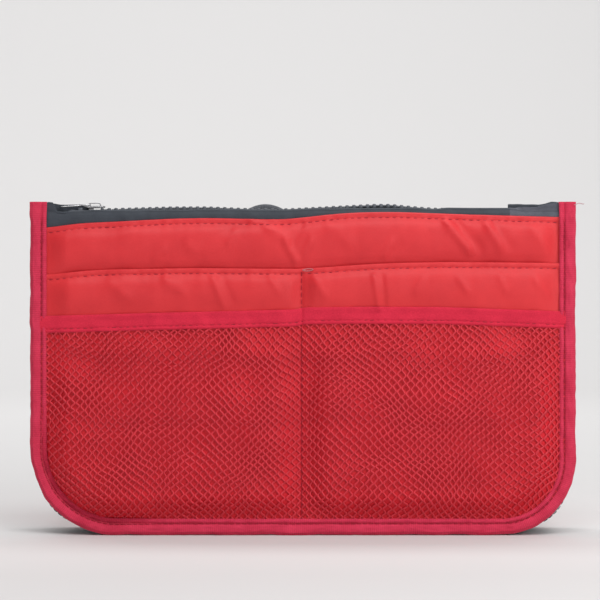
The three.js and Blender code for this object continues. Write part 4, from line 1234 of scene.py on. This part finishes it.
def sliderParts():
    # two plates with turned-in sides, the post between them and the arch over the pull
    half, wide, taper, flange = (slider[key] for key in ("half", "wide", "taper", "flange"))
    near, far = slider["plates"]
    upper = plateRings(roundedOutline(half, wide, 44, 0.5, taper), near, far, 0.18, 0.12)
    parts = [upper, upper * [1, 1, -1]]
    along = np.linspace(-3.9, 3.9, 14)[:, None]
    for side in (-1, 1):
        y = side * (wide * (1 - taper * along / half) - 0.3) + np.array([-0.2, 0.2, 0.2, -0.2])
        for way in (-1, 1):
            z = way * np.array([flange, flange, near + 0.15, near + 0.15])
            parts.append(stacked(along, y, z))
    post = roundedOutline(1.4, 0.22, 16, 0.8) + [-1.8, 0]
    parts.append(plateRings(post, -near - 0.2, near + 0.2, 0.02))
    turn = np.linspace(0, math.pi, 25)
    rise = far - 0.15 + (slider["bridge"] - far + 0.15) * np.abs(np.sin(turn)) ** 0.5
    reach = -slider["legs"] * np.sign(np.cos(turn)) * np.abs(np.cos(turn)) ** 0.45
    section = roundedOutline(1.0, 0.26, 16, 0.55)
    parts.append(carried(strapPath(stacked(reach, rise)), section[:, 1], section[:, 0]))
    return parts


def pullParts():
    # the eye round the bridge, and the tab with a hole near its end, drawn from the eye's bar to -X
    eye = [roundedOutline(*size, 32, 0.45) + [-2.3, 0] for size in ((2.6, 1.95), (2.0, 1.32))]
    reach = roundedOutline(1, 1, 40)
    # the tab's outline seen from the hole: straight sides, a round end and a long stem
    alongWay = np.where(reach[:, 0] > 0, 8.6, 2.4)
    size = 1 / (np.abs(reach[:, 0] / alongWay) ** 4 + np.abs(reach[:, 1] / 2.2) ** 4) ** 0.25
    hole = np.array([-13.0, 0])
    return [holedPlate(*eye), holedPlate(hole + reach * size[:, None], hole + 0.9 * reach)]


def metalPiece(end, part, shapes, turned, at, material):
    piece = loftParts(end + part.title(), [shape @ turned.T + at for shape in shapes], material)
    place(piece, f"{end}_{part}", "silver_metal", f"{end}_zip_{part}")


# the top slider lies along X with its pull to the left; the side one stands, its pull hanging
a = math.radians(slider["droop"])
drooped = np.array([[math.cos(a), 0, -math.sin(a)], [0, 1, 0], [math.sin(a), 0, math.cos(a)]])
for end, way, turned, lie in (
        ("top", -1, np.eye(3), drooped),
        ("side", 1, np.array([[0.0, 0, 1], [0, 1, 0], [-1, 0, 0]]), np.diag([-1.0, -1.0, 1.0]))):
    low, high = nodeBox(end + "_zip_slider")
    upward = turned @ [0.0, 0.0, 1.0]
    middle = (low + high) / 2
    middle = middle + upward * (np.dot(low - middle, upward) + slider["plates"][1])
    metalPiece(end, "slider", sliderParts(), turned, middle, "sliderMetal")
    pivot = middle + turned @ [way * slider["pivot"][0], 0, slider["pivot"][1]]
    metalPiece(end, "pull", pullParts(), turned @ lie, pivot, "silverMetal")


def stopBlock(node, body):
    # a small moulded block with rounded edges
    low, high = nodeBox(node)
    half = (high - low) / 2
    shape = plateRings(roundedOutline(half[0], half[1], 20, 0.35), -half[2], half[2], 0.2)
    piece = loftParts("block_" + node, [shape + (low + high) / 2], "zipTeeth")
    place(piece, body, "grey_teeth", node)


for stop in ("end", "front", "back"):
    stopBlock(f"top_zip_{stop}_stop", "front_wall")
for word in ("front", "back"):
    for end in ("left", "right"):
        stopBlock(f"side_zip_{word}_{end}_stop", word + "_wall")

sideTapeLow, sideTapeHigh = nodeBox("side_zip_front_tape")
sideZip = {
    "inset": sideTapeLow[0] - wall["left"],
    "top": sideTapeHigh[2],
    "teethTop": nodeBox("side_zip_front_teeth")[1][2],
    "leftRadius": 28.5,
    "rightRadius": 22.5,
    "middle": -0.25,
    "stitch": (0.12, 10.9),
    # the tape's middle line: distance out from the run and from the zip's middle
    "tape": [(-0.25, 2.7), (-0.1, 4.6), (0.15, 6.5), (0.15, 8.6), (-0.1, 10.8), (-0.6, 12.0),
             (-1.4, 12.4), (-3.5, 12.45), (-7.0, 12.45)],
}


def sidePath(top, step):
    inset = sideZip["inset"]
    return edgePath(inset, top, sideZip["leftRadius"] + inset, sideZip["rightRadius"] + inset, step)


def roundedLine(points, step, spread):
    # even steps along straight stretches, with the corners rounded by averaging
    points = np.array(points, float)
    length = lengthAlong(points)
    at = np.linspace(0, length[-1], max(8, int(length[-1] / step)))
    offsets = np.linspace(-spread, spread, 7)
    reach = np.minimum(1, np.minimum(at, length[-1] - at) / spread)[:, None]
    return readAt(np.clip(at[:, None] + offsets * reach, 0, length[-1]), length, points).mean(1)


def sweptRibbon(name, path, line, thick, material, wave, seed):
    # cloth whose middle line (outward, Y) is carried along a path round the walls' edge
    across = strapPath(line)["out"] * thick / 2
    section = np.concatenate([line + across, (line - across)[::-1]])
    outward = section[:, 0] + wave * softNoise(path["s"][:, None], section[:, 1] * 2, 22, seed)
    rings = carried(path, outward, section[:, 1])
    return tube(name, rings, path["s"], lengthAlong(section), material)


for side, word, first in ((-1, "front", 0.5), (1, "back", 1.0)):
    line = roundedLine([(n, side * y) for n, y in sideZip["tape"]], 0.55, 0.7)
    tape = sweptRibbon("sideTape" + word.title(), sidePath(sideZip["top"], 2.2), line, 0.5,
                       "zipTape", 0.14, 91)
    place(tape, word + "_wall", "grey_tape", f"side_zip_{word}_tape")
    path = sidePath(sideZip["teethTop"], 0.5)
    at = np.arange(teeth["pitch"] * first, path["s"][-1] - 1, teeth["pitch"])
    flat = np.zeros(len(at))
    columns = (path["x"], path["z"], *path["out"].T)
    x, z, outX, outZ = (np.interp(at, path["s"], column) for column in columns)
    out = unit(stacked(outX, flat, outZ))
    along = stacked(-out[:, 2], flat, out[:, 0])
    places = stacked(x, flat, z) + out * sideZip["middle"]
    teethRow("side", word, places, along, out, word + "_wall")
    row = sidePath(sideZip["top"] - 3, 2.0)
    points = carried(row, np.full((1, 1), sideZip["stitch"][0]), side * sideZip["stitch"][1])[:, 0]
    outward = stacked(row["out"][:, 0], 0, row["out"][:, 1])
    stitchLines("sideTapeStitches" + word.title(), [(points, outward)], 3.2, "greyThread",
                word + "_wall")
print("sliders, pulls and side zip made")

gusset = {
    "line": [(-7.4, -11.8), (-3.9, -11.8), (-3.9, -5), (-20, -3.2), (-4.9, 0.8), (-20, 4.8),
             (-3.9, 8.6), (-3.9, 11.8), (-7.4, 11.8)],
    "thick": 0.45,
    "turnOver": 11.5,   # the walls' seams, either side of the middle
}


def pleatedGusset():
    line = roundedLine(gusset["line"], 0.8, 1.3)
    path = sidePath(nodeBox("gusset")[1][2], 3.2)
    piece = sweptRibbon("pleatedGusset", path, line, gusset["thick"], "greyLining", 0.35, 95)
    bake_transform(piece)
    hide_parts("gusset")


pleatedGusset()
print("gusset made")

handles = {"half": 6.0, "thick": 0.62, "weft": 1.35, "warp": 1.5, "rise": 0.09, "step": 0.42,
           "box": (1.2, 9.5, 4.4), "boxPitch": 2.2}


def curveThrough(points, step):
    # a Catmull-Rom curve through points, in even steps
    p = np.array(points, float)
    p = np.concatenate([[2 * p[0] - p[1]], p, [2 * p[-1] - p[-2]]])
    t = np.linspace(0, 1, 60)[:, None, None]
    a, b, c, d = p[:-3], p[1:-2], p[2:-1], p[3:]
    curve = 2 * b + (c - a) * t + (2 * a - 5 * b + 4 * c - d) * t ** 2
    curve = (0.5 * (curve + (3 * b - a - 3 * c + d) * t ** 3)).transpose(1, 0, 2).reshape(-1, 2)
    length = lengthAlong(curve)
    return readAt(np.arange(0, length[-1], step), length, curve)


def webbingLoop(wallSide, points, faceAt):
    # a woven strap along a curve: its section is a flat rounded strap, raised where the weft
    # passes over in a broken twill
    node, way = wallSide["word"] + "_handle", -wallSide["side"]
    line = curveThrough(points, handles["step"])
    a = np.concatenate([np.linspace(-1, 1, 21), np.linspace(1, -1, 21)[1:-1]])
    face = np.sqrt(np.clip(1 - np.abs(a) ** 8, 0, 1)) * np.where(np.arange(40) < 21, 1, -1)
    a = a * handles["half"]
    s = np.arange(len(line)) * handles["step"]
    weave = np.sin(2 * math.pi * (s[:, None] / handles["weft"] + a / handles["warp"]))
    weave = weave * np.sign(np.sin(math.pi * a / 3.0))
    rings = carried(strapPath(line), a, 0.0)
    rings[..., 1] = faceAt(rings[..., 2]) + face * (handles["thick"] + handles["rise"] * weave)
    piece = tube(wallSide["word"] + "Handle", rings, s, 0.6 * np.arange(len(a)), "greyWebbing")
    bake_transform(piece)
    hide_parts(node)
    rows, (near, far, side) = [], handles["box"]
    for end in (line[:26], line[-26:][::-1]):
        # a box of stitches with its diagonals
        axis = unit(end[-1] - end[0])
        cross = np.array([-axis[1], axis[0]])
        corners = [end[0] + axis * along + cross * across
                   for along, across in ((near, -side), (near, side), (far, side), (far, -side))]
        for i, j in ((0, 1), (1, 2), (2, 3), (3, 0), (0, 2), (1, 3)):
            x, z = (corners[i] + (corners[j] - corners[i]) * np.linspace(0, 1, 20)[:, None]).T
            rows.append(lineOn(x, faceAt(z) + way * (handles["thick"] + 0.1), z, way))
    stitchLines(wallSide["word"] + "HandleStitches", rows, handles["boxPitch"], "greyThread",
                wallSide["body"])


frontStrap = [(-47, 106), (-46, 130), (-38, 152), (-20, 164.5), (-2, 154), (18, 131), (41, 106)]
backStrap = [(-42, 110), (-38, 128), (-24, 145), (0, 151), (24, 145), (38, 128), (42, 110)]
webbingLoop(frontWall, frontStrap, lambda z: -liningIn + standsBack(0, z) + 0.95)
webbingLoop(backWall, backStrap, lambda z: liningIn - 1.6 + 0 * z)
print("handles made")


thread = {"radius": 0.17, "step": 0.2, "sides": 6}


def fineThread(name, x, y, z):
    # a thread of round section along a path of points
    path = stacked(x, y, z)
    a, b = roundedOutline(thread["radius"], thread["radius"], thread["sides"]).T[..., None]
    ahead = unit(np.gradient(path, axis=0))
    flat = unit(np.cross(ahead, [0.0, 1.0, 0.0]))
    rings = path[:, None] + flat[:, None] * a + np.cross(ahead, flat)[:, None] * b
    around = np.arange(thread["sides"]) * 2 * math.pi / thread["sides"]
    piece = tube(name, rings, np.arange(len(path)) * thread["step"], around, "paleThread")
    place(piece, "front_wall")


# a thread's end that sticks out of the binding at the top right
t = np.linspace(0, 1, 24)
fineThread("looseThread", wall["right"] - 1.2 + 5.2 * t, -wall["outer"] + 0.4 - 0.5 * np.sin(3 * t),
           169.3 + 1.2 * t + 0.7 * np.sin(5 * t) * t)
# the loop of thread where the seam down the middle starts, on the slip pocket's hem
angle = np.linspace(0.25, 2 * math.pi - 0.25, 30)
x = wall["seamX"] + 3.1 - 2.7 * np.cos(angle)
z = lineOf(frontWall, "high", x) - 0.9 + 0.55 * np.sin(angle)
fineThread("seamThread", x, -(cardOut + highPuff(frontWall, x, z) + 0.75), z)

# frameWidth is what the picture spans at the front wall's face
view = {"distance": 1000, "height": 120.6, "middle": -1.5, "frameWidth": 307.2, "sensor": 36}
sweep = {"half": 3000, "near": -2600, "bend": 1500, "radius": 900, "high": 3400, "columns": 12}


def addCamera():
    camera = bpy.data.cameras.new("camera")
    camera.sensor_width = view["sensor"]
    camera.lens = view["sensor"] * (view["distance"] - wall["outer"]) / view["frameWidth"]
    camera.clip_start = 0.01
    holder = addObject("camera", camera)
    holder.location = (view["middle"] * mm, -view["distance"] * mm, view["height"] * mm)
    holder.rotation_euler = (math.pi / 2, 0, 0)
    bpy.context.scene.camera = holder


def addStage():
    # a sweep of pale card: floor, a wide curve, then a wall
    tree, shader = startMaterial("paleCard")
    coordinates = put(tree, "ShaderNodeTexCoord", {}).outputs["Object"]
    axes = put(tree, "ShaderNodeSeparateXYZ", {0: coordinates}).outputs
    # floor and wall grow paler or darker along Y: painted light, the floor is palest from a little
    # in front of the object to a little behind it, which lightens its shadows there; 0.5 on the
    # ramp is
    # Y = 0, and 1 is Y = 1
    paintedLightTones = [(0.42, 0.575), (0.48, 0.64), (0.525, 0.615), (0.60, 0.59), (1.0, 0.65)]
    stops = [(at, (tone, tone * 0.99, tone * 0.988)) for at, tone in paintedLightTones]
    connect(tree, shader, {"Base Color": rampOf(tree, scaledSum(tree, axes[1], 0.5, 0.5), stops),
                           "Roughness": 0.9, "Specular IOR Level": 0.1})
    turn, bend, radius = np.linspace(0, math.pi / 2, 24), sweep["bend"], sweep["radius"]
    y = np.concatenate([[sweep["near"]], bend + radius * np.sin(turn), [bend + radius]])[:, None]
    z = np.concatenate([[0], radius - radius * np.cos(turn), [sweep["high"]]])[:, None]
    x = np.linspace(-sweep["half"], sweep["half"], sweep["columns"])
    verts = stacked(x, y, z).reshape(-1, 3)
    mesh = bpy.data.meshes.new("sweep")
    quads = gridQuads(len(y), len(x))[:, ::-1]
    mesh.from_pydata((verts * mm).tolist(), [], quads.tolist())
    mesh.shade_smooth()
    mesh.materials.append(bpy.data.materials["paleCard"])
    addObject("sweep", mesh)


def addLight(name, at, target, size, power):
    light = bpy.data.lights.new(name, "AREA")
    light.shape = "RECTANGLE"
    light.size, light.size_y = size
    light.energy = power
    holder = addObject(name, light)
    holder.location = at
    x, y, z = np.array(target) - np.array(at)
    holder.rotation_euler = (math.atan2(math.hypot(x, y), -z), 0, math.atan2(-x, y))


addCamera()
addStage()
# place and target in metres, width and height in metres, power in watts
addLight("keyLight", (0.2, -1.15, 1.95), (0, 0, 0.08), (1.6, 1.0), 26.5)
addLight("rightLight", (0.52, -0.62, 0.42), (0.1, 0, 0.09), (0.5, 0.5), 2.7)
addLight("lowLight", (0.15, -1.3, 0.16), (0, 0, 0.05), (1.0, 0.2), 2.0)
addLight("backdropLight", (-0.25, 0.75, 2.2), (-0.2, 1.9, 0.5), (3.6, 1.0), 47)

world = bpy.data.worlds.new("world")
world.use_nodes = True
background = world.node_tree.nodes["Background"]
background.inputs["Color"].default_value = (0.92, 0.91, 0.91, 1)
background.inputs["Strength"].default_value = 0.39
bpy.context.scene.world = world
bpy.context.scene.view_settings.view_transform = "Standard"
print("camera, stage and lights made")
